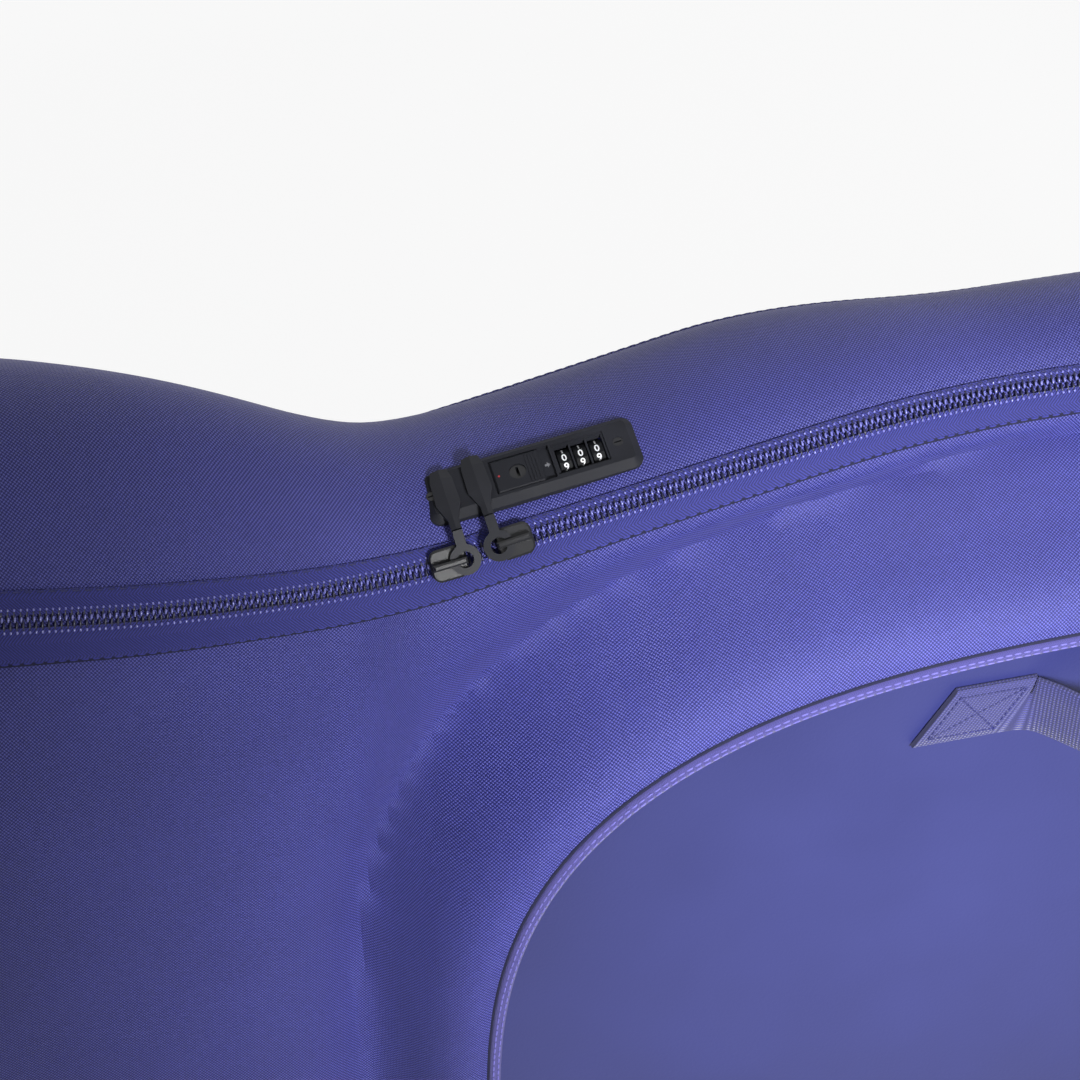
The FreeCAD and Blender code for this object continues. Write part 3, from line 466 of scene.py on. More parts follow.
@dataclass
class CaseForm:
    """The lofted envelope of the case and its zip line, in millimetres."""

    half_length: float = 680.0
    bottom: float = 80.0
    base_half: float = 115.0
    spine_half: float = 60.0
    width_sweeps: Sequence[Sweep] = ((175.0, -68.0, -455.0), (25.0, 300.0, 250.0))
    crown_rise: float = 40.0
    rise_sweeps: Sequence[Sweep] = ((122.0, 15.0, -230.0), (42.0, 90.0, 170.0))
    end_run: float = 120.0
    end_share: float = 0.62
    end_rise: float = 0.6
    front_drop: float = 90.0
    rear_drop: float = 60.0
    zip_side: float = -50.0
    zip_sweeps: Sequence[Sweep] = ((-50.0, -50.0, -300.0), (52.0, -520.0, -150.0), (12.0, 90.0, 140.0))
    zip_low: float = 765.8
    zip_climbs: Sequence[Climb] = ((0.2175, 1.0, -62.0, 40.0), (-0.2175, 1.0, 131.0, 45.0),
                                   (0.36, -1.0, 115.0, 75.0), (-0.36, -1.0, 520.0, 60.0),
                                   (-0.35, 1.0, 430.0, 130.0))
    zip_end: float = 98.0
    zip_margin: float = 6.0
    lock_at: tuple[float, float] = (5.0, -27.0)
    panel_x: float = 275.0
    panel_z: float = 474.0
    panel_long: float = 311.0
    panel_high: float = 256.0
    panel_power: float = 3.0
    panel_y: float = 118.0
    panel_rim: float = 2.0
    valley_blend: float = 40.0
    hollow_deep: float = 12.0
    hollow_at: float = 46.0
    hollow_wide: float = 20.0
    hollow_margin: float = 10.0
    hollow_fade: float = 16.0
    shoulder: Profile = ((0.0, 0.0), (6.0, 0.7), (13.0, 3.4), (20.0, 9.0), (29.0, 20.0),
                         (41.0, 40.0), (49.0, 62.0), (52.0, 88.0), (62.0, 180.0))
    past_shoulder: float = -200.0
    crown_steps: int = 40
    side_steps: int = 120

    def zip_y(self, x: float) -> float:
        """Returns the zip line's place across the case."""
        return swept(self.zip_side, self.zip_sweeps, x)

    def zip_z(self, x: float) -> float:
        """Returns the zip line's height: climbs with their slope, direction, start and corner."""
        height = self.zip_low
        for slope, way, first, corner in self.zip_climbs:
            height += slope * smooth_ramp(way * x - first, corner)
        return height

    def end_factor(self, x: float) -> float:
        """Returns 1 along the case, falling as a quarter ellipse to 0 at its ends."""
        t = max(0.0, (abs(x) - (self.half_length - self.end_run)) / self.end_run)
        return math.sqrt(max(0.0, 1.0 - t * t))

    def base_at(self, x: float) -> float:
        """Returns the half width of the base."""
        return self.base_half * (self.end_share + (1.0 - self.end_share) * self.end_factor(x))

    def section(self, x: float) -> tuple[float, float, float]:
        """Returns the half width, crown rise and shoulder height at x."""
        half = swept(self.spine_half, self.width_sweeps, x)
        rise = swept(self.crown_rise, self.rise_sweeps, x)
        top = self.zip_z(x) + rise * (1.0 - math.sqrt(1.0 - (self.zip_y(x) / half) ** 2))
        fade = self.end_factor(x)
        top -= (1.0 - fade) * (self.front_drop if x < 0.0 else self.rear_drop)
        rise *= self.end_rise + (1.0 - self.end_rise) * fade
        return half * (self.end_share + (1.0 - self.end_share) * fade), rise, top - rise

    def crown_z(self, x: float, y: float) -> float:
        """Returns the height of the crown at a plan point."""
        half, rise, shoulder = self.section(x)
        return shoulder + rise * math.sqrt(max(0.0, 1.0 - (y / half) ** 2))

    def panel_reach(self, x: float, z: float) -> float:
        """Returns how far a side point lies outside the wheel panel's oval."""
        dx, dz = x - self.panel_x, z - self.panel_z
        ratio = (abs(dx / self.panel_long) ** self.panel_power
                 + abs(dz / self.panel_high) ** self.panel_power) ** (1.0 / self.panel_power)
        return math.hypot(dx, dz) * (1.0 - 1.0 / max(ratio, 1e-6))

    def dome_y(self, x: float, z: float) -> float:
        """Returns how far out the wheel panel's raised form stands at a side point."""
        reach = self.panel_reach(x, z) - self.panel_rim
        if reach <= 0.0:
            return self.panel_y
        last = self.shoulder[0]
        for step in self.shoulder[1:]:
            if reach <= step[0]:
                share = (reach - last[0]) / (step[0] - last[0])
                return self.panel_y - last[1] - share * (step[1] - last[1])
            last = step
        return self.past_shoulder

    def side_point(self, x: float, y: float, z: float) -> Vector:
        """Lifts an envelope point on the door side out over the wheel panel, with a hollow round its foot."""
        below = self.zip_z(x) - z
        out = smooth_max(-y, self.dome_y(x, z), self.valley_blend) if below > self.zip_margin else -y
        beside = (self.panel_reach(x, z) - self.hollow_at) / self.hollow_wide
        hollow = self.hollow_deep * math.exp(-(beside ** 2))
        hollow *= smooth_step((below - self.hollow_margin) / self.hollow_fade)
        return Vector((x, -out + hollow, z))

    def side_section(self, x: float, count: int) -> list[Vector]:
        """Returns points from the zip line down the door side to the base, evenly spread."""
        half, rise, shoulder = self.section(x)
        start = math.acos(min(1.0, abs(self.zip_y(x)) / half))
        dense = []
        for k in range(self.crown_steps + 1):
            turn = start * (1.0 - k / self.crown_steps)
            dense.append((-half * math.cos(turn), shoulder + rise * math.sin(turn)))
        for k in range(1, self.side_steps + 1):
            z = shoulder + (self.bottom - shoulder) * k / self.side_steps
            share = smooth_step((shoulder - z) / (shoulder - self.bottom))
            dense.append((-(half + (self.base_at(x) - half) * share), z))
        points = [self.side_point(x, y, z) for y, z in dense]
        return spread_points(points, count)

    def spot(self, station: Station, reach: float) -> Spot:
        """Finds a point near the zip line on the door side.

        Args:
            station: "crown" with its x, or "cap" with the end's sign and a height.
            reach: distance across the zip line, up the crown if positive.

        Returns:
            The point and the outward normal.
        """
        kind, first, second = station
        if kind == "cap":
            x = first * self.half_length
            return Vector((x, self.zip_y(x) + reach, second)), Vector((first, 0.0, 0.0))
        point = self.crown_point(first, reach)
        along = self.crown_point(first + 0.5, reach) - self.crown_point(first - 0.5, reach)
        across = self.crown_point(first, reach + 0.5) - self.crown_point(first, reach - 0.5)
        return point, along.cross(across).normalized()

    def crown_point(self, x: float, reach: float) -> Vector:
        """Walks along the section from the zip line, up the crown if positive."""
        x = max(-self.half_length, min(self.half_length, x))
        half, rise, shoulder = self.section(x)
        turn = math.acos(min(1.0, abs(self.zip_y(x)) / half))
        way = 1.0 if reach > 0.0 else -1.0
        left = abs(reach)
        while left > 1e-6:
            if turn <= 0.0 and way < 0.0:
                return self.side_point(x, -half, shoulder - left)
            step = min(0.5, left)
            turn += way * step / math.hypot(half * math.sin(turn), rise * math.cos(turn))
            left -= step
        return Vector((x, -half * math.cos(turn), shoulder + rise * math.sin(turn)))

    def length_stations(self, pitch: float) -> list[float]:
        """Returns x stations, close together where the ends turn."""
        inner = self.half_length - self.end_run
        count = int(2.0 * inner / pitch)
        middle = [-inner + 2.0 * inner * k / count for k in range(count + 1)]
        turns = [math.sin(math.radians(5.0 * k)) for k in range(1, 18)] + [0.9995]
        rear = [inner + self.end_run * t for t in turns]
        return [-x for x in reversed(rear)] + middle + rear

    def zip_stations(self, pitch: float) -> list[Station]:
        """Returns stations along the whole zip, up the nose, over the top and down the tail."""
        stations: list[Station] = []
        for end in (-1.0, 1.0):
            x = end * self.half_length
            top = self.crown_z(x, self.zip_y(x)) - 2.0
            count = int((top - self.zip_end) / pitch)
            cap = [("cap", end, self.zip_end + (top - self.zip_end) * k / count) for k in range(count + 1)]
            if end < 0.0:
                stations += cap
                stations += [("crown", x, 0.0) for x in self.length_stations(pitch)]
            else:
                stations += reversed(cap)
        return stations

    def lock_frame(self) -> Matrix:
        """Returns the lock's own frame on the crown, in millimetres."""
        x, y = self.lock_at
        slope_x = (self.crown_z(x + 1.0, y) - self.crown_z(x - 1.0, y)) / 2.0
        slope_y = (self.crown_z(x, y + 0.1) - self.crown_z(x, y - 0.1)) / 0.2
        normal = Vector((-slope_x, -slope_y, 1.0)).normalized()
        ahead = Vector((1.0, 0.0, slope_x)).normalized()
        return frame_matrix(Vector((x, y, self.crown_z(x, y))), ahead, normal)


def spread_points(points: Sequence[Vector], count: int) -> list[Vector]:
    """Spreads points evenly along a line.

    Args:
        points: the line's points.
        count: how many to return.

    Returns:
        The new points, with both ends kept.
    """
    marks = [0.0]
    for first, second in zip(points, points[1:]):
        marks.append(marks[-1] + (second - first).length)
    spread, k = [], 0
    for n in range(count):
        mark = marks[-1] * n / (count - 1)
        while k < len(points) - 2 and marks[k + 1] < mark:
            k += 1
        share = (mark - marks[k]) / max(marks[k + 1] - marks[k], 1e-9)
        spread.append(points[k].lerp(points[k + 1], min(1.0, share)))
    return spread


def frame_matrix(origin: Vector, along: Vector, normal: Vector) -> Matrix:
    """Builds a frame with X along and Z on the normal.

    Args:
        origin: the frame's place.
        along: roughly its X direction.
        normal: its Z direction.

    Returns:
        The frame as a matrix.
    """
    z = normal.normalized()
    x = (along - z * along.dot(z)).normalized()
    y = z.cross(x)
    return Matrix(((x.x, y.x, z.x, origin.x), (x.y, y.y, z.y, origin.y), (x.z, y.z, z.z, origin.z),
                   (0.0, 0.0, 0.0, 1.0)))


def make_object(name: str, points: Sequence[Vector], faces: Sequence[Sequence[int]],
                uvs: Sequence[tuple[float, float]] | None = None) -> bpy.types.Object:
    """Makes a smooth mesh object from millimetre points.

    Args:
        name: the piece's name.
        points: its vertices.
        faces: its faces.
        uvs: one place per vertex on the cloth, in metres.

    Returns:
        The new object, at the origin.
    """
    mesh = bpy.data.meshes.new(name)
    mesh.from_pydata([point * MM for point in points], [], faces)
    if uvs:
        layer = mesh.uv_layers.new(name="cloth")
        for loop in mesh.loops:
            layer.data[loop.index].uv = uvs[loop.vertex_index]
    mesh.validate()
    mesh.update()
    piece = bpy.data.objects.new(name, mesh)
    bpy.context.collection.objects.link(piece)
    mesh.polygons.foreach_set("use_smooth", [True] * len(mesh.polygons))
    return piece


def make_sheet(name: str, rows: Sequence[Sequence[Vector]], keep: Callable[[Vector], bool] | None = None,
               flip: bool = False, tube: bool = False, centred: bool = False) -> bpy.types.Object:
    """Makes a sheet from rows of points, with a cloth map that follows its lengths.

    Args:
        name: the piece's name.
        rows: points in millimetres, each row as long as the others.
        keep: tells whether the face around a point stays.
        flip: turns the faces the other way round.
        tube: joins each row's end to its start and closes both ends.
        centred: measures the cloth map from the middle of each row.

    Returns:
        The sheet.
    """
    wide = len(rows[0])
    points = [point for row in rows for point in row]
    uvs, mark = [], 0.0
    for r, row in enumerate(rows):
        if r:
            mark += (row[wide // 2] - rows[r - 1][wide // 2]).length * MM
        across = [0.0]
        for first, second in zip(row, row[1:]):
            across.append(across[-1] + (second - first).length * MM)
        middle = across[wide // 2] if centred else 0.0
        uvs += [(mark, across[k] - middle) for k in range(wide)]
    faces = []
    for r in range(len(rows) - 1):
        for k in range(wide if tube else wide - 1):
            a, b = r * wide + k, r * wide + (k + 1) % wide
            centre = (points[a] + points[b + wide]) / 2.0
            if keep is None or keep(centre):
                faces.append((a, b, b + wide, a + wide))
    if tube:
        last = (len(rows) - 1) * wide
        faces.append(tuple(range(wide - 1, -1, -1)))
        faces.append(tuple(range(last, last + wide)))
    if flip:
        faces = [tuple(reversed(face)) for face in faces]
    return make_object(name, points, faces, uvs)


def choose(*pieces: bpy.types.Object) -> None:
    """Selects some pieces and no others, the first of them active."""
    bpy.ops.object.select_all(action="DESELECT")
    for piece in pieces:
        piece.select_set(True)
    bpy.context.view_layer.objects.active = pieces[0]


def turned(columns: Sequence[Sequence[Spot]]) -> list[list[Vector]]:
    """Turns lines that run along a strip into rows of points across it."""
    return [[spot[0] for spot in row] for row in zip(*columns)]


def with_caps(rows: list[list[Vector]],
              cap: Callable[[float, Sequence[Vector]], list[list[Vector]]]) -> list[list[Vector]]:
    """Adds the rows of the nose cap and of the tail cap to a sheet's rows."""
    return list(reversed(cap(-1.0, rows[0]))) + rows + cap(1.0, rows[-1])


def thicken(piece: bpy.types.Object, thickness: float, offset: float = -1.0) -> None:
    """Gives a sheet its thickness and shades it smooth between creases.

    Args:
        piece: the sheet.
        thickness: in millimetres.
        offset: -1 grows inwards, 1 outwards.
    """
    choose(piece)
    wall = piece.modifiers.new("wall", "SOLIDIFY")
    wall.thickness = thickness * MM
    wall.offset = offset
    bpy.ops.object.modifier_apply(modifier=wall.name)
    bpy.ops.object.shade_smooth_by_angle(angle=CREASE)


def make_copies(name: str, shape: Shape, frames: Iterable[Matrix]) -> bpy.types.Object:
    """Copies one small shape to many places, as one piece.

    Args:
        name: the piece's name.
        shape: the vertices and faces of the shape, in millimetres.
        frames: where each copy goes.

    Returns:
        The piece.
    """
    points, faces = [], []
    for place in frames:
        start = len(points)
        points += [place @ point for point in shape[0]]
        faces += [tuple(start + k for k in face) for face in shape[1]]
    return make_object(name, points, faces)


def bead_shape(long: float, wide: float, high: float, segments: int = 6, rings: int = 5) -> Shape:
    """Models one rounded bead, along X, and returns its vertices and faces in millimetres."""
    bpy.ops.object.select_all(action="DESELECT")
    bpy.ops.mesh.primitive_uv_sphere_add(segments=segments, ring_count=rings, radius=0.5)
    ball = bpy.context.object
    bpy.ops.transform.rotate(value=math.pi / 2.0, orient_axis="Y", center_override=(0.0, 0.0, 0.0))
    bpy.ops.object.transform_apply(location=True, rotation=True, scale=True)
    points = []
    for vertex in ball.data.vertices:
        x, y, z = vertex.co
        blunt = math.copysign(abs(2.0 * x) ** BLUNTNESS / 2.0, x)
        points.append(Vector((blunt * long, y * wide, z * high)))
    faces = [tuple(face.vertices) for face in ball.data.polygons]
    mesh = ball.data
    bpy.data.objects.remove(ball)
    bpy.data.meshes.remove(mesh)
    return points, faces


def dress(piece: bpy.types.Object, finish: Finish, body: str,
          replaced: Sequence[str] = ()) -> None:
    """Gives a piece its finish, body, slot and the nodes it stands for."""
    piece.data.materials.clear()
    piece.data.materials.append(finish.material())
    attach(piece, body)
    if replaced:
        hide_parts(*replaced)
    LOG.info("%s: %d faces", piece.name, len(piece.data.polygons))


def walk(points: Sequence[Spot], pitch: float, start: float = 0.0) -> list[Matrix]:
    """Sets frames at an even pitch along a line of points with normals.

    Args:
        points: the line, each point with its normal.
        pitch: distance between frames.
        start: distance of the first frame.

    Returns:
        Frames with X along the line and Z on the normal.
    """
    frames, mark, target = [], 0.0, start
    for (first, normal_a), (second, normal_b) in zip(points, points[1:]):
        step = second - first
        length = step.length
        while length > 1e-9 and target <= mark + length:
            share = (target - mark) / length
            frames.append(frame_matrix(first.lerp(second, share), step, normal_a.lerp(normal_b, share)))
            target += pitch
        mark += length
    return frames


@dataclass
class Shells:
    """Door, far shell and the gusset between them, as padded woven panels."""

    form: CaseForm
    pitch: float = 5.5
    rows: int = 140
    cap_rows: int = 14
    gusset_steps: int = 36
    gusset_cap_rows: int = 70
    wall: float = 5.0
    unevenness: float = 1.1
    slow_waves: tuple[float, float] = (0.011, 0.027)
    seam_fade: float = 60.0
    panel_margin: float = 4.0
    panel_fade: float = 20.0
    lock_hole_x: tuple[float, float] = (-40.0, 34.5)
    lock_hole_half: float = 8.8
    lock_hole_deep: float = 15.0

    def soften(self, point: Vector, near_edge: float) -> Vector:
        """Gives padded cloth its slow unevenness, less near a seam."""
        first, second = self.slow_waves
        slow = noise.noise(point * first) + 0.5 * noise.noise(point * second)
        shift = self.unevenness * slow * smooth_step(near_edge / self.seam_fade)
        reach = self.form.panel_reach(point.x, point.z)
        shift *= smooth_step((reach - self.panel_margin) / self.panel_fade)
        return Vector((point.x, point.y - shift, point.z))

    def half_rows(self) -> list[list[Vector]]:
        """Returns the door's rows, from the nose cap along the side to the tail cap."""
        form = self.form
        rows = []
        for x in form.length_stations(self.pitch):
            row = form.side_section(x, self.rows)
            rows.append([self.soften(p, (p - row[0]).length) for p in row])

        def cap(end: float, edge: Sequence[Vector]) -> list[list[Vector]]:
            x = end * form.half_length
            seam = form.zip_y(x)
            shares = [k / self.cap_rows for k in range(self.cap_rows + 1)]
            return [[Vector((x, p.y + (seam - p.y) * share, p.z)) for p in edge] for share in shares]

        return with_caps(rows, cap)

    def build(self) -> None:
        """Builds the two half shells and the gusset."""
        rows = self.half_rows()
        for side, name in ((Side.DOOR, "door_shell"), (Side.FAR, "far_shell")):
            placed = [[side.place(p) for p in row] for row in rows]
            sheet = make_sheet("cloth_" + name, placed, flip=side is Side.FAR)
            thicken(sheet, self.wall)
            dress(sheet, SHELL_CLOTH, side.body(), [name])
        self.build_gusset()

    def build_gusset(self) -> None:
        """Builds the one long gusset, down the nose, over the crown and down the tail."""
        form = self.form
        lock = form.lock_frame().inverted()
        rows = []
        for x in form.length_stations(self.pitch):
            half = form.section(x)[0]
            start = math.acos(min(1.0, -form.zip_y(x) / half))
            row = []
            for k in range(self.gusset_steps + 1):
                y = -half * math.cos(start + (math.pi - 2.0 * start) * k / self.gusset_steps)
                row.append(Vector((x, y, form.crown_z(x, y))))
            rows.append(row)

        def cap(end: float, edge: Sequence[Vector]) -> list[list[Vector]]:
            x = end * form.half_length
            shares = [k / self.gusset_cap_rows for k in range(self.gusset_cap_rows + 1)]
            return [[Vector((x, p.y, p.z + (form.bottom - p.z) * share)) for p in edge] for share in shares]

        def clear_of_lock(point: Vector) -> bool:
            local = lock @ point
            along = self.lock_hole_x[0] < local.x < self.lock_hole_x[1]
            return not (along and abs(local.y) < self.lock_hole_half and abs(local.z) < self.lock_hole_deep)

        rows = with_caps(rows, cap)
        sheet = make_sheet("cloth_gusset", rows, keep=clear_of_lock, flip=True, centred=True)
        thicken(sheet, self.wall)
        dress(sheet, SHELL_CLOTH, "case", ["top_gusset", "front_gusset", "rear_gusset"])


@dataclass
class WheelPanels:
    """Smooth coated panels on both sides, with their binding and double stitching."""

    form: CaseForm
    lift: float = 1.0
    thick: float = 1.0
    sag: float = 0.5
    sag_wave: float = 0.012
    rings: int = 25
    turns: int = 220
    stitch_rows: tuple[float, float] = (-0.9, 1.3)
    stitch_pitch: float = 4.2
    stitch_fill: float = 0.78
    stitch_lift: float = 2.5
    weld: float = 0.02 * MM
    edge: Profile = ((-2.4, 0.6), (-2.3, 1.7), (-1.4, 2.2), (0.2, 2.4), (1.8, 2.2), (2.6, 1.7), (2.8, 0.2))
    # Growth and lift of the dark strip beside the binding, painted as its shadow on the shell.
    gap: Profile = ((2.6, 0.2), (2.8, 0.7), (3.3, 0.7), (3.6, 0.2), (3.7, -0.2))

    def oval(self, grow: float, turn: float) -> tuple[float, float]:
        """Returns a place on the panel's outline, grown outwards."""
        form = self.form
        cos, sin = math.cos(turn), math.sin(turn)
        radius = (abs(cos / (form.panel_long + grow)) ** form.panel_power
                  + abs(sin / (form.panel_high + grow)) ** form.panel_power) ** (-1.0 / form.panel_power)
        return form.panel_x + radius * cos, form.panel_z + radius * sin

    def spot(self, grow: float, turn: float, lift: float) -> Vector:
        """Returns a point of the raised panel form on the door side, lifted off it."""
        x, z = self.oval(grow, turn)
        return Vector((x, -self.form.dome_y(x, z) - lift, z))

    def build(self) -> None:
        """Builds panel, binding and stitches on each side."""
        for side, name in ((Side.DOOR, "door_round_panel"), (Side.FAR, "far_round_panel")):
            self.build_panel(side, name)
            self.build_binding(side)
            self.build_stitches(side)

    def build_panel(self, side: Side, name: str) -> None:
        """Builds the coated skin, slightly hollow towards the middle."""
        form = self.form
        rings = []
        for ring in range(self.rings):
            share = 1.0 - ring / self.rings
            row = []
            for k in range(self.turns + 1):
                x, z = self.oval(0.0, 2.0 * math.pi * k / self.turns)
                x = form.panel_x + (x - form.panel_x) * share
                z = form.panel_z + (z - form.panel_z) * share
                wave = noise.noise(Vector((x, 0.0, z)) * self.sag_wave)
                sag = self.sag * wave * smooth_step((1.0 - share) * 6.0)
                row.append(side.place(Vector((x, -form.panel_y - self.lift + sag, z))))
            rings.append(row)
        sheet = make_sheet("skin_" + name, rings, flip=side is Side.FAR)
        self.close_middle(sheet)
        thicken(sheet, self.thick)
        dress(sheet, PANEL_CLOTH, side.body(), [name])

    def close_middle(self, sheet: bpy.types.Object) -> None:
        """Closes the skin's middle and the seam where its rings meet."""
        choose(sheet)
        last = [v.index for v in sheet.data.vertices][-(self.turns + 1):]
        bpy.ops.object.mode_set(mode="EDIT")
        bpy.ops.mesh.select_all(action="DESELECT")
        bpy.ops.object.mode_set(mode="OBJECT")
        for index in last:
            sheet.data.vertices[index].select = True
        bpy.ops.object.mode_set(mode="EDIT")
        bpy.ops.mesh.select_mode(type="VERT")
        bpy.ops.mesh.merge(type="CENTER")
        bpy.ops.mesh.select_all(action="SELECT")
        bpy.ops.mesh.remove_doubles(threshold=self.weld)
        bpy.ops.object.mode_set(mode="OBJECT")

    def build_binding(self, side: Side) -> None:
        """Builds the folded tape over the panel's edge, and beside it a dark strip painted as its shadow."""
        strips = (("panel_binding_", self.edge, EDGE_CLOTH), ("panel_shadow_", self.gap, SEAM_SHADOW))
        for name, profile, finish in strips:
            rows = []
            for k in range(2 * self.turns + 1):
                turn = math.pi * k / self.turns
                rows.append([side.place(self.spot(grow, turn, lift)) for grow, lift in profile])
            strip = make_sheet(name + side.name.lower(), rows, flip=side is Side.FAR)
            dress(strip, finish, side.body())

    def build_stitches(self, side: Side) -> None:
        """Sews the two rows of pale stitches."""
        shape = bead_shape(self.stitch_pitch * self.stitch_fill, 0.9, 0.8)
        out = Vector((0.0, -side.value, 0.0))
        frames = []
        for grow in self.stitch_rows:
            line = []
            for k in range(4 * self.turns + 1):
                spot = self.spot(grow, 0.5 * math.pi * k / self.turns, self.stitch_lift)
                line.append((side.place(spot), out))
            frames += walk(line, self.stitch_pitch)
        piece = make_copies("panel_stitches_" + side.name.lower(), shape, frames)
        dress(piece, STITCH_YARN, side.body())


@dataclass
class ZipLine:
    """Tapes, coil teeth and stitch rows along the near zip, and the bound seam on the far side."""

    form: CaseForm
    tape_in: float = 2.6
    door_reach: tuple[float, float] = (17.0, 13.0)
    gusset_reach: tuple[float, float] = (12.5, 6.4)
    narrowing: tuple[float, float] = (-180.0, 60.0)
    tape_lift: float = 0.5
    tape_thick: float = 1.0
    tooth_pitch: float = 2.7
    stitch_pitch: float = 5.0
    stitch_fill: float = 0.7
    door_sewn: float = 0.5
    gusset_sewn: float = -0.7
    door_sewn_lift: float = 0.6
    station_pitch: float = 6.0
    tape_steps: int = 6
    inner_lift: float = 0.25
    # Growth and lift of the dark strip under the tape's edge, painted as its shadow.
    gap: Profile = ((-0.4, 0.9), (0.5, 0.45), (1.7, 0.2))
    shank: Sequence[Bead] = ((5.0, 1.3, 1.4, 2.2, 1.2),)
    door_crowns: Sequence[Bead] = ((1.5, 1.3, 1.7, 4.4, 1.8),)
    gusset_crowns: Sequence[Bead] = ((1.3, 1.2, 1.5, 4.6, 1.6), (2.4, 1.1, 1.5, 0.9, 2.5))
    far_seam: Profile = ((-4.2, 0.0), (-3.8, 0.7), (-0.7, 0.8), (-0.3, 0.3), (0.0, 0.8), (3.8, 0.7),
                         (4.2, 0.0))
    far_rows: tuple[float, float] = (-2.4, 2.4)
    far_fill: float = 0.75
    far_lift: float = 0.75

    def line(self, reach: float, lift: float, spread: tuple[float, float] = (1.0, 1.0)) -> list[Spot]:
        """Returns a line beside the zip, lifted off the cloth.

        Args:
            reach: distance from the zip line, up the crown if positive.
            lift: height above the cloth.
            spread: what the distance is multiplied by at the nose and at the tail.

        Returns:
            The line's points with their normals.
        """
        spots = []
        left, right = self.narrowing
        for station in self.form.zip_stations(self.station_pitch):
            x = station[1] if station[0] == "crown" else station[1] * self.form.half_length
            share = smooth_step((x - left) / (right - left))
            wide = spread[0] + (spread[1] - spread[0]) * share
            point, normal = self.form.spot(station, reach * wide)
            spots.append((point + normal * lift, normal))
        return spots

    def build(self) -> None:
        """Builds both halves of the zip and the far seam."""
        halves = (("door", -1.0, self.door_reach, "door"), ("gusset", 1.0, self.gusset_reach, "case"))
        for name, way, reach, body in halves:
            self.build_tape(name, way, reach, body)
            self.build_teeth(name, way, body)
            # The door's tape also gets a dark strip painted as its shadow.
            if way < 0.0:
                self.build_gap(name, way, reach, body)
            grow = self.door_sewn if way < 0.0 else self.gusset_sewn
            self.build_stitches(name, way, (reach[0] + grow, reach[1] + grow), body)
        self.build_far_seam()

    def build_tape(self, name: str, way: float, reach: tuple[float, float], body: str) -> None:
        """Builds one half of the tape, from the coil to its outer edge."""
        columns = []
        for k in range(self.tape_steps + 1):
            share = k / self.tape_steps
            spread = tuple(self.tape_in + (edge - self.tape_in) * share for edge in reach)
            columns.append(self.line(way, self.tape_lift + (0.0 if k else self.inner_lift), spread))
        sheet = make_sheet("tape_" + name, turned(columns), flip=way > 0.0)
        thicken(sheet, self.tape_thick, 1.0)
        dress(sheet, ZIP_TAPE, body, [name + "_zip_tape"])

    def build_gap(self, name: str, way: float, reach: tuple[float, float], body: str) -> None:
        """Builds a dark strip, painted as the shadow that the tape's outer edge casts over the cloth."""
        columns = [self.line(way, lift, (reach[0] + grow, reach[1] + grow)) for grow, lift in self.gap]
        strip = make_sheet("tape_gap_" + name, turned(columns), flip=way > 0.0)
        dress(strip, SEAM_SHADOW, body)

    def build_teeth(self, name: str, way: float, body: str) -> None:
        """Builds one row of coil teeth, set half a pitch from the other row."""
        half = 0.0 if way < 0.0 else 0.5
        frames = []
        for place in walk(self.line(0.0, 0.0), self.tooth_pitch, half * self.tooth_pitch):
            frames.append(place @ Matrix.Rotation(math.pi / 2.0, 4, "Z"))
        shank = self.coil_beads(way, self.shank)
        dress(make_copies("teeth_" + name, shank, frames), COIL_NYLON, body, [name + "_zip_coil"])
        # The crown beads take the paler coil colour, a painted highlight.
        crown = self.coil_beads(way, self.door_crowns if way < 0.0 else self.gusset_crowns)
        dress(make_copies("tooth_crowns_" + name, crown, frames), COIL_HIGHLIGHT, body)

    def coil_beads(self, way: float, parts: Sequence[Bead]) -> Shape:
        """Joins beads of given length, width, height, reach and lift into one shape of the coil."""
        points: list[Vector] = []
        faces: list[tuple[int, ...]] = []
        for long, wide, high, out, lift in parts:
            bead = bead_shape(long, wide, high, 6, 4)
            start = len(points)
            points += [point + Vector((way * out, 0.0, lift)) for point in bead[0]]
            faces += [tuple(start + k for k in face) for face in bead[1]]
        return points, faces

    def build_stitches(self, name: str, way: float, edge: tuple[float, float], body: str) -> None:
        """Sews the tape to the cloth close to its outer edge."""
        shape = bead_shape(self.stitch_pitch * self.stitch_fill, 0.9, 0.7)
        lift = self.door_sewn_lift if way < 0.0 else self.tape_lift + self.tape_thick
        frames = walk(self.line(way, lift, edge), self.stitch_pitch)
        piece = make_copies("tape_stitches_" + name, shape, frames)
        dress(piece, TAPE_YARN if way < 0.0 else DARK_YARN, body)

    def build_far_seam(self) -> None:
        """Builds the bound seam between gusset and far shell."""
        columns = [self.line(reach, lift) for reach, lift in self.far_seam]
        rows = [[Side.FAR.place(point) for point in row] for row in turned(columns)]
        strip = make_sheet("far_seam_binding", rows)
        dress(strip, SHELL_CLOTH, "case", ["far_seam_piping"])
        shape = bead_shape(self.stitch_pitch * self.far_fill, 0.7, 0.5)
        frames = []
        for reach in self.far_rows:
            near = self.line(reach, self.far_lift)
            line = [(Side.FAR.place(point), Side.FAR.place(normal)) for point, normal in near]
            frames += walk(line, self.stitch_pitch)
        dress(make_copies("far_seam_stitches", shape, frames), TAPE_YARN, "case")


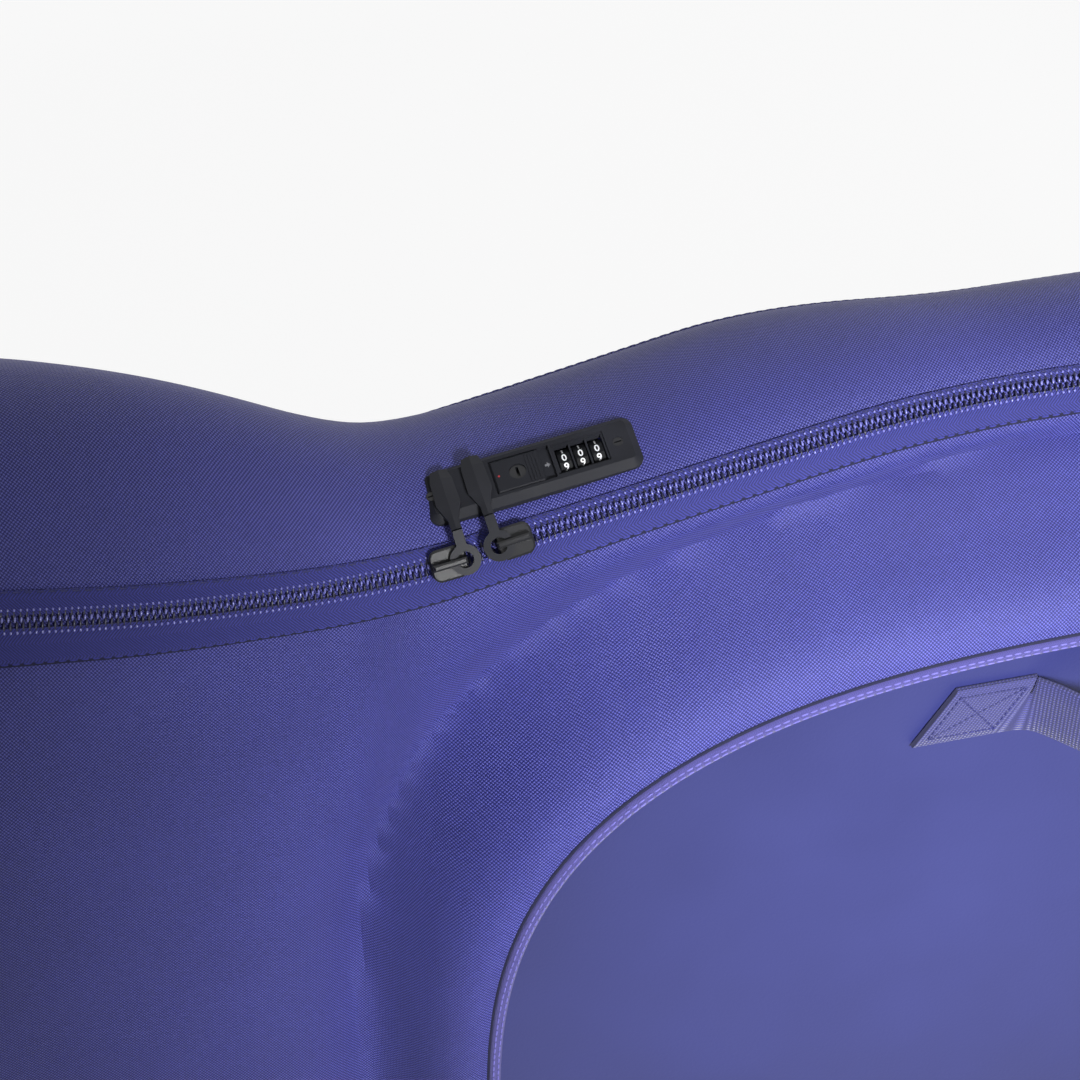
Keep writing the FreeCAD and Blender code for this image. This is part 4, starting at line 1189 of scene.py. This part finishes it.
@dataclass
class Handle:
    """Webbing handle: two sewn patches and a bowed grip between them."""

    name: str
    body: str
    place: Matrix
    length: float
    wide: float = 30.0
    thick: float = 2.6
    rise: float = 30.0
    patch: float = 40.0
    slant: float = 9.0
    steps: int = 96
    bow_share: float = 0.72
    skew_lead: float = 8.0
    skew_run: float = 12.0
    seat: float = 0.1
    stitch_pitch: float = 3.0
    stitch_fill: float = 0.78
    stitch_lift: float = 0.2
    stitch_in: float = 4.0
    stitch_near: float = 5.0
    profile: Profile = ((-1.0, 0.0), (-1.0, 0.8), (-0.93, 1.0), (-0.45, 1.05), (0.0, 1.06),
                        (0.45, 1.05), (0.93, 1.0), (1.0, 0.8), (1.0, 0.0), (0.0, 0.0))

    def path(self) -> list[tuple[float, float]]:
        """Returns the strap's run and height along its length."""
        half = self.length / 2.0
        flat = half - self.patch
        run = []
        for k in range(self.steps + 1):
            x = -half + self.length * k / self.steps
            run.append((x, self.rise * smooth_step((flat - abs(x)) / (self.bow_share * flat))))
        return run

    def skew(self, x: float) -> float:
        """Returns how far the patch leans along the strap towards its slanted end."""
        start = self.length / 2.0 - self.patch
        return -math.copysign(self.slant, x) * smooth_step((abs(x) - start + self.skew_lead) / self.skew_run)

    def build(self) -> None:
        """Builds the strap and its box stitching."""
        half_wide = self.wide / 2.0
        rows = []
        run = self.path()
        for k, (x, z) in enumerate(run):
            before, after = run[max(0, k - 1)], run[min(len(run) - 1, k + 1)]
            tilt = math.atan2(after[1] - before[1], after[0] - before[0])
            row = []
            for across, up in self.profile:
                skew = self.skew(x) * across
                lift = up * self.thick
                ahead, height = x + skew - lift * math.sin(tilt), z + lift * math.cos(tilt) + self.seat
                row.append(self.place @ Vector((ahead, across * half_wide, height)))
            rows.append(row)
        strap = make_sheet("strap_" + self.name, rows, flip=True, tube=True)
        choose(strap)
        bpy.ops.object.shade_smooth_by_angle(angle=CREASE)
        dress(strap, WEBBING, self.body, [self.name])
        self.build_stitches()

    def build_stitches(self) -> None:
        """Sews a box with a cross on each patch."""
        pitch, half_wide = self.stitch_pitch, self.wide / 2.0
        shape = bead_shape(pitch * self.stitch_fill, 0.8, 0.7)
        top = self.thick * max(up for _, up in self.profile) + self.stitch_lift
        near = self.length / 2.0 - self.patch + self.stitch_near
        far = self.length / 2.0 - self.stitch_in
        side = half_wide - self.stitch_in
        up = Vector((0.0, 0.0, 1.0))
        frames = []
        for end in (-1.0, 1.0):
            lean = -end * self.slant * side / half_wide
            a, b, c, d = (Vector((end * run + way * lean, way * side, top))
                          for run, way in ((near, -1.0), (far, -1.0), (far, 1.0), (near, 1.0)))
            for path in ((a, b, c, d, a), (a, c), (b, d)):
                for first, second in zip(path, path[1:]):
                    line = [(first, up), (second, up)]
                    frames += [self.place @ frame for frame in walk(line, pitch, pitch / 2.0)]
        piece = make_copies("stitches_" + self.name, shape, frames)
        dress(piece, DARK_YARN, self.body)


@dataclass
class Handles:
    """The four webbing handles of the case."""

    form: CaseForm
    side_length: float = 184.0
    side_x: float = 254.0
    side_z: float = 700.0
    side_lift: float = 1.5
    end_length: float = 220.0
    end_z: float = 430.0
    end_lift: float = 0.3

    def build(self) -> None:
        """Builds both side handles and both end handles."""
        seat = self.form.panel_y + self.side_lift
        for side, name in ((Side.DOOR, "door_handle"), (Side.FAR, "far_handle")):
            out = Vector((0.0, -side.value, 0.0))
            spot = Vector((self.side_x, -seat * side.value, self.side_z))
            place = frame_matrix(spot, Vector((1.0, 0.0, 0.0)), out)
            Handle(name, side.body(), place, self.side_length).build()
        for end, name in ((-1.0, "front_handle"), (1.0, "rear_handle")):
            spot = Vector((end * (self.form.half_length + self.end_lift), 0.0, self.end_z))
            place = frame_matrix(spot, Vector((0.0, 0.0, 1.0)), Vector((end, 0.0, 0.0)))
            Handle(name, "case", place, self.end_length, slant=0.0).build()


@dataclass
class Trim:
    """Hinge binding, its sewn flap and the straps round the inner cradle."""

    form: CaseForm
    left: float = -520.0
    right: float = 490.0
    strip_rows: int = 101
    hinge: Profile = ((-118.3, 46.0), (-119.5, 46.0), (-119.9, 62.0), (-121.2, 76.0), (-123.0, 78.6),
                      (-123.3, 80.2), (-122.4, 82.0), (-120.7, 82.5), (-119.2, 81.6), (-118.6, 80.0),
                      (-118.3, 76.0), (-118.3, 46.0))
    flap: Profile = ((-115.4, 83.2), (-117.0, 83.2), (-117.2, 85.0), (-117.0, 108.0), (-115.4, 108.8),
                     (-115.4, 83.2))
    straps: Sequence[tuple[float, Sequence[str]]] = ((80.0, ("frame_straps",)), (160.0, ()))
    strap_run: Profile = ((-45.3, 70.0), (-45.3, 214.0), (-44.2, 219.0), (-40.0, 220.5), (40.0, 220.5),
                          (44.2, 219.0), (45.3, 214.0), (45.3, 70.0))
    strap_columns: Sequence[float] = (-12.5, -6.0, 0.0, 6.0, 12.5)
    strap_rows: int = 60
    strap_thick: float = 1.8

    def build(self) -> None:
        """Builds the sewn trim pieces."""
        self.build_strip("hinge_binding", self.hinge, "case", "hinge_strip")
        self.build_strip("hinge_flap_binding", self.flap, "door", "door_hinge_flap")
        self.build_straps()

    def build_strip(self, name: str, profile: Profile, body: str, node: str) -> None:
        """Runs a profile along the base edge."""
        rows = []
        for k in range(self.strip_rows):
            x = self.left + (self.right - self.left) * k / (self.strip_rows - 1)
            rows.append([Vector((x, y, z)) for y, z in profile])
        strip = make_sheet(name, rows)
        dress(strip, BINDING_CLOTH, body, [node])

    def build_straps(self) -> None:
        """Builds the two straps over the cradle."""
        for at, nodes in self.straps:
            line = spread_points([Vector((at, y, z)) for y, z in self.strap_run], self.strap_rows)
            rows = [[p + Vector((across, 0.0, 0.0)) for across in self.strap_columns] for p in line]
            strap = make_sheet("cradle_strap_%d" % at, rows, flip=True)
            thicken(strap, self.strap_thick, 1.0)
            dress(strap, WEBBING, "case", nodes)


@dataclass
class LockFace:
    """Printing of the combination lock: digits on the dials, an arrow and a dot."""

    form: CaseForm
    dial_x: float = 22.3
    dial_pitch: float = 7.3
    dial_r: float = 7.0
    dial_axis: float = -2.4
    dial_flats: int = 10
    digit_high: float = 4.6
    digit_bold: float = 0.09
    digit_steps: int = 3
    ink: float = 0.03
    arrow: Profile = ((6.3, -0.5), (7.3, -0.5), (7.3, -1.4), (8.7, 0.0), (7.3, 1.4), (7.3, 0.5), (6.3, 0.5))
    arrow_top: float = 2.64
    dot_x: float = -14.0
    dot_r: float = 0.5
    dot_step: float = 0.4
    dot_corners: int = 15
    dot_top: float = 4.93
    bodies: tuple[str, str, str] = ("dial_left", "dial_middle", "dial_right")

    def build(self) -> None:
        """Prints all ten digits on each dial."""
        place = self.form.lock_frame()
        flat = self.dial_r * math.cos(math.pi / self.dial_flats)
        for k, body in enumerate(self.bodies):
            x = self.dial_x + (k - 1) * self.dial_pitch
            prints = []
            for digit in range(self.dial_flats):
                turn = 2.0 * math.pi * digit / self.dial_flats
                out = Vector((0.0, math.sin(turn), math.cos(turn)))
                spot = Vector((x, 0.0, self.dial_axis)) + out * (flat + self.ink)
                seat = place @ frame_matrix(spot, Vector((1.0, 0.0, 0.0)), out)
                prints.append(self.print_digit(str(digit), seat))
            choose(*prints)
            bpy.ops.object.join()
            prints[0].name = "digits_" + body
            dress(prints[0], DIGIT_INK, body)
        self.print_marks(place)

    def print_marks(self, place: Matrix) -> None:
        """Prints the arrow beside the sliding plate and the red dot on it."""
        arrow = [Vector((x, y, self.arrow_top)) for x, y in self.arrow]
        dot = []
        for k in range(self.dot_corners):
            turn = self.dot_step * k
            x, y = self.dot_x + self.dot_r * math.cos(turn), self.dot_r * math.sin(turn)
            dot.append(Vector((x, y, self.dot_top)))
        marks = (("lock_arrow", arrow, MARK_INK, "case"), ("lock_dot", dot, DOT_INK, "lock_slide"))
        for name, outline, finish, body in marks:
            mark = make_object(name, [place @ point for point in outline], [tuple(range(len(outline)))])
            thicken(mark, self.ink, 1.0)
            dress(mark, finish, body)

    def print_digit(self, text: str, place: Matrix) -> bpy.types.Object:
        """Makes one digit as a thin raised print at its place."""
        bpy.ops.object.select_all(action="DESELECT")
        bpy.ops.object.text_add()
        mark = bpy.context.object
        mark.data.body = text
        mark.data.size = self.digit_high * MM
        mark.data.extrude = self.ink * MM
        mark.data.offset = self.digit_bold * MM
        mark.data.resolution_u = self.digit_steps
        mark.data.align_x = "CENTER"
        mark.data.align_y = "CENTER"
        bpy.ops.object.convert(target="MESH")
        mark = bpy.context.object
        scaled = Matrix.LocRotScale(place.translation * MM, place.to_quaternion(), None)
        mark.data.transform(scaled)
        return mark


@dataclass(frozen=True)
class Lamp:
    """One soft area lamp: where it stands, what it is aimed at, its size, power and spread in degrees."""

    name: str
    spot: tuple[float, float, float]
    target: tuple[float, float, float]
    size: float
    power: float
    spread: float

    def build(self) -> None:
        """Hangs the lamp."""
        light = bpy.data.lights.new(self.name, "AREA")
        light.size = self.size
        light.energy = self.power
        light.spread = math.radians(self.spread)
        holder = bpy.data.objects.new(self.name, light)
        holder.location = self.spot
        holder.rotation_euler = (Vector(self.target) - Vector(self.spot)).to_track_quat("-Z", "Y").to_euler()
        bpy.context.collection.objects.link(holder)


@dataclass
class Studio:
    """Pale floor, soft lamps and the camera of the photograph."""

    eye: tuple[float, float, float] = (-0.20139, -0.86997, 1.48505)
    azimuth: float = 14.0
    dip: float = 40.0
    lens: float = 86.53
    sensor: float = 36.0
    clip: float = 0.01
    ambient: float = 0.17
    floor_size: float = 30.0
    floor_z: float = -0.0005
    floor_share: float = 0.8
    floor_glow: float = 1.1
    lamps: Sequence[Lamp] = (
        Lamp("key", (0.3, -1.7, 1.4), (0.2, -0.12, 0.6), 0.4, 2.8, 27.0),
        Lamp("rim", (1.4, 1.7, 1.8), (0.0, 0.0, 0.75), 1.2, 8.0, 180.0),
        Lamp("top", (-0.4, 0.3, 2.9), (0.0, 0.0, 0.75), 1.6, 4.0, 180.0),
    )

    def build(self) -> None:
        """Sets the floor, the light and the camera."""
        bpy.ops.object.select_all(action="DESELECT")
        bpy.ops.mesh.primitive_plane_add(size=self.floor_size, location=(0.0, 0.0, self.floor_z))
        floor = bpy.context.object
        floor.name = "floor"
        bpy.ops.object.transform_apply(location=True)
        paper = bpy.data.materials.new("studio_paper")
        paper.use_nodes = True
        nodes = paper.node_tree.nodes
        graph = Graph(paper.node_tree)
        matt = nodes["Principled BSDF"]
        graph.fill(matt, {"Base Color": linear("F6F6F8"), "Roughness": 0.95})
        share = graph.math("MULTIPLY", graph.seen_directly(), self.floor_share)
        glow = graph.add("Emission", {"Color": WHITE, "Strength": self.floor_glow})
        both = graph.add("MixShader", {0: share, 1: matt.outputs[0], 2: glow.outputs[0]})
        graph.fill(nodes["Material Output"], {"Surface": both.outputs[0]})
        floor.data.materials.append(paper)
        self.build_world()
        for lamp in self.lamps:
            lamp.build()
        self.build_camera()
        bpy.context.scene.view_settings.view_transform = "Standard"

    def build_world(self) -> None:
        """Lights the scene softly all round, with a white ground for the camera."""
        world = bpy.data.worlds.new("studio")
        bpy.context.scene.world = world
        world.use_nodes = True
        graph = Graph(world.node_tree)
        strength = graph.span(graph.seen_directly(), self.ambient, 1.0)
        graph.fill(world.node_tree.nodes["Background"], {"Color": WHITE, "Strength": strength})

    def build_camera(self) -> None:
        """Sets the camera where the photograph was taken from."""
        lens = bpy.data.cameras.new("camera")
        lens.sensor_width = self.sensor
        lens.lens = self.lens
        lens.clip_start = self.clip
        holder = bpy.data.objects.new("camera", lens)
        turn, dip = math.radians(self.azimuth), math.radians(self.dip)
        ahead = Vector((math.sin(turn) * math.cos(dip), math.cos(turn) * math.cos(dip), -math.sin(dip)))
        holder.location = self.eye
        holder.rotation_euler = ahead.to_track_quat("-Z", "Y").to_euler()
        bpy.context.collection.objects.link(holder)
        bpy.context.scene.camera = holder


def dress_nodes(nodes: dict[str, bpy.types.Object]) -> None:
    """Gives each rigid CAD node its finish."""
    for name, finish in NODE_FINISHES.items():
        piece = nodes[name]
        piece.data.materials.clear()
        piece.data.materials.append(finish.material())
        LOG.info("%s: %s", name, finish.name)


def main() -> None:
    """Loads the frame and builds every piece."""
    logging.basicConfig(level=logging.INFO, format="%(message)s")
    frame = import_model()
    form = CaseForm()
    dress_nodes(frame["nodes"])
    Shells(form).build()
    WheelPanels(form).build()
    ZipLine(form).build()
    Handles(form).build()
    Trim(form).build()
    LockFace(form).build()
    Studio().build()


if __name__ == "__main__":
    main()
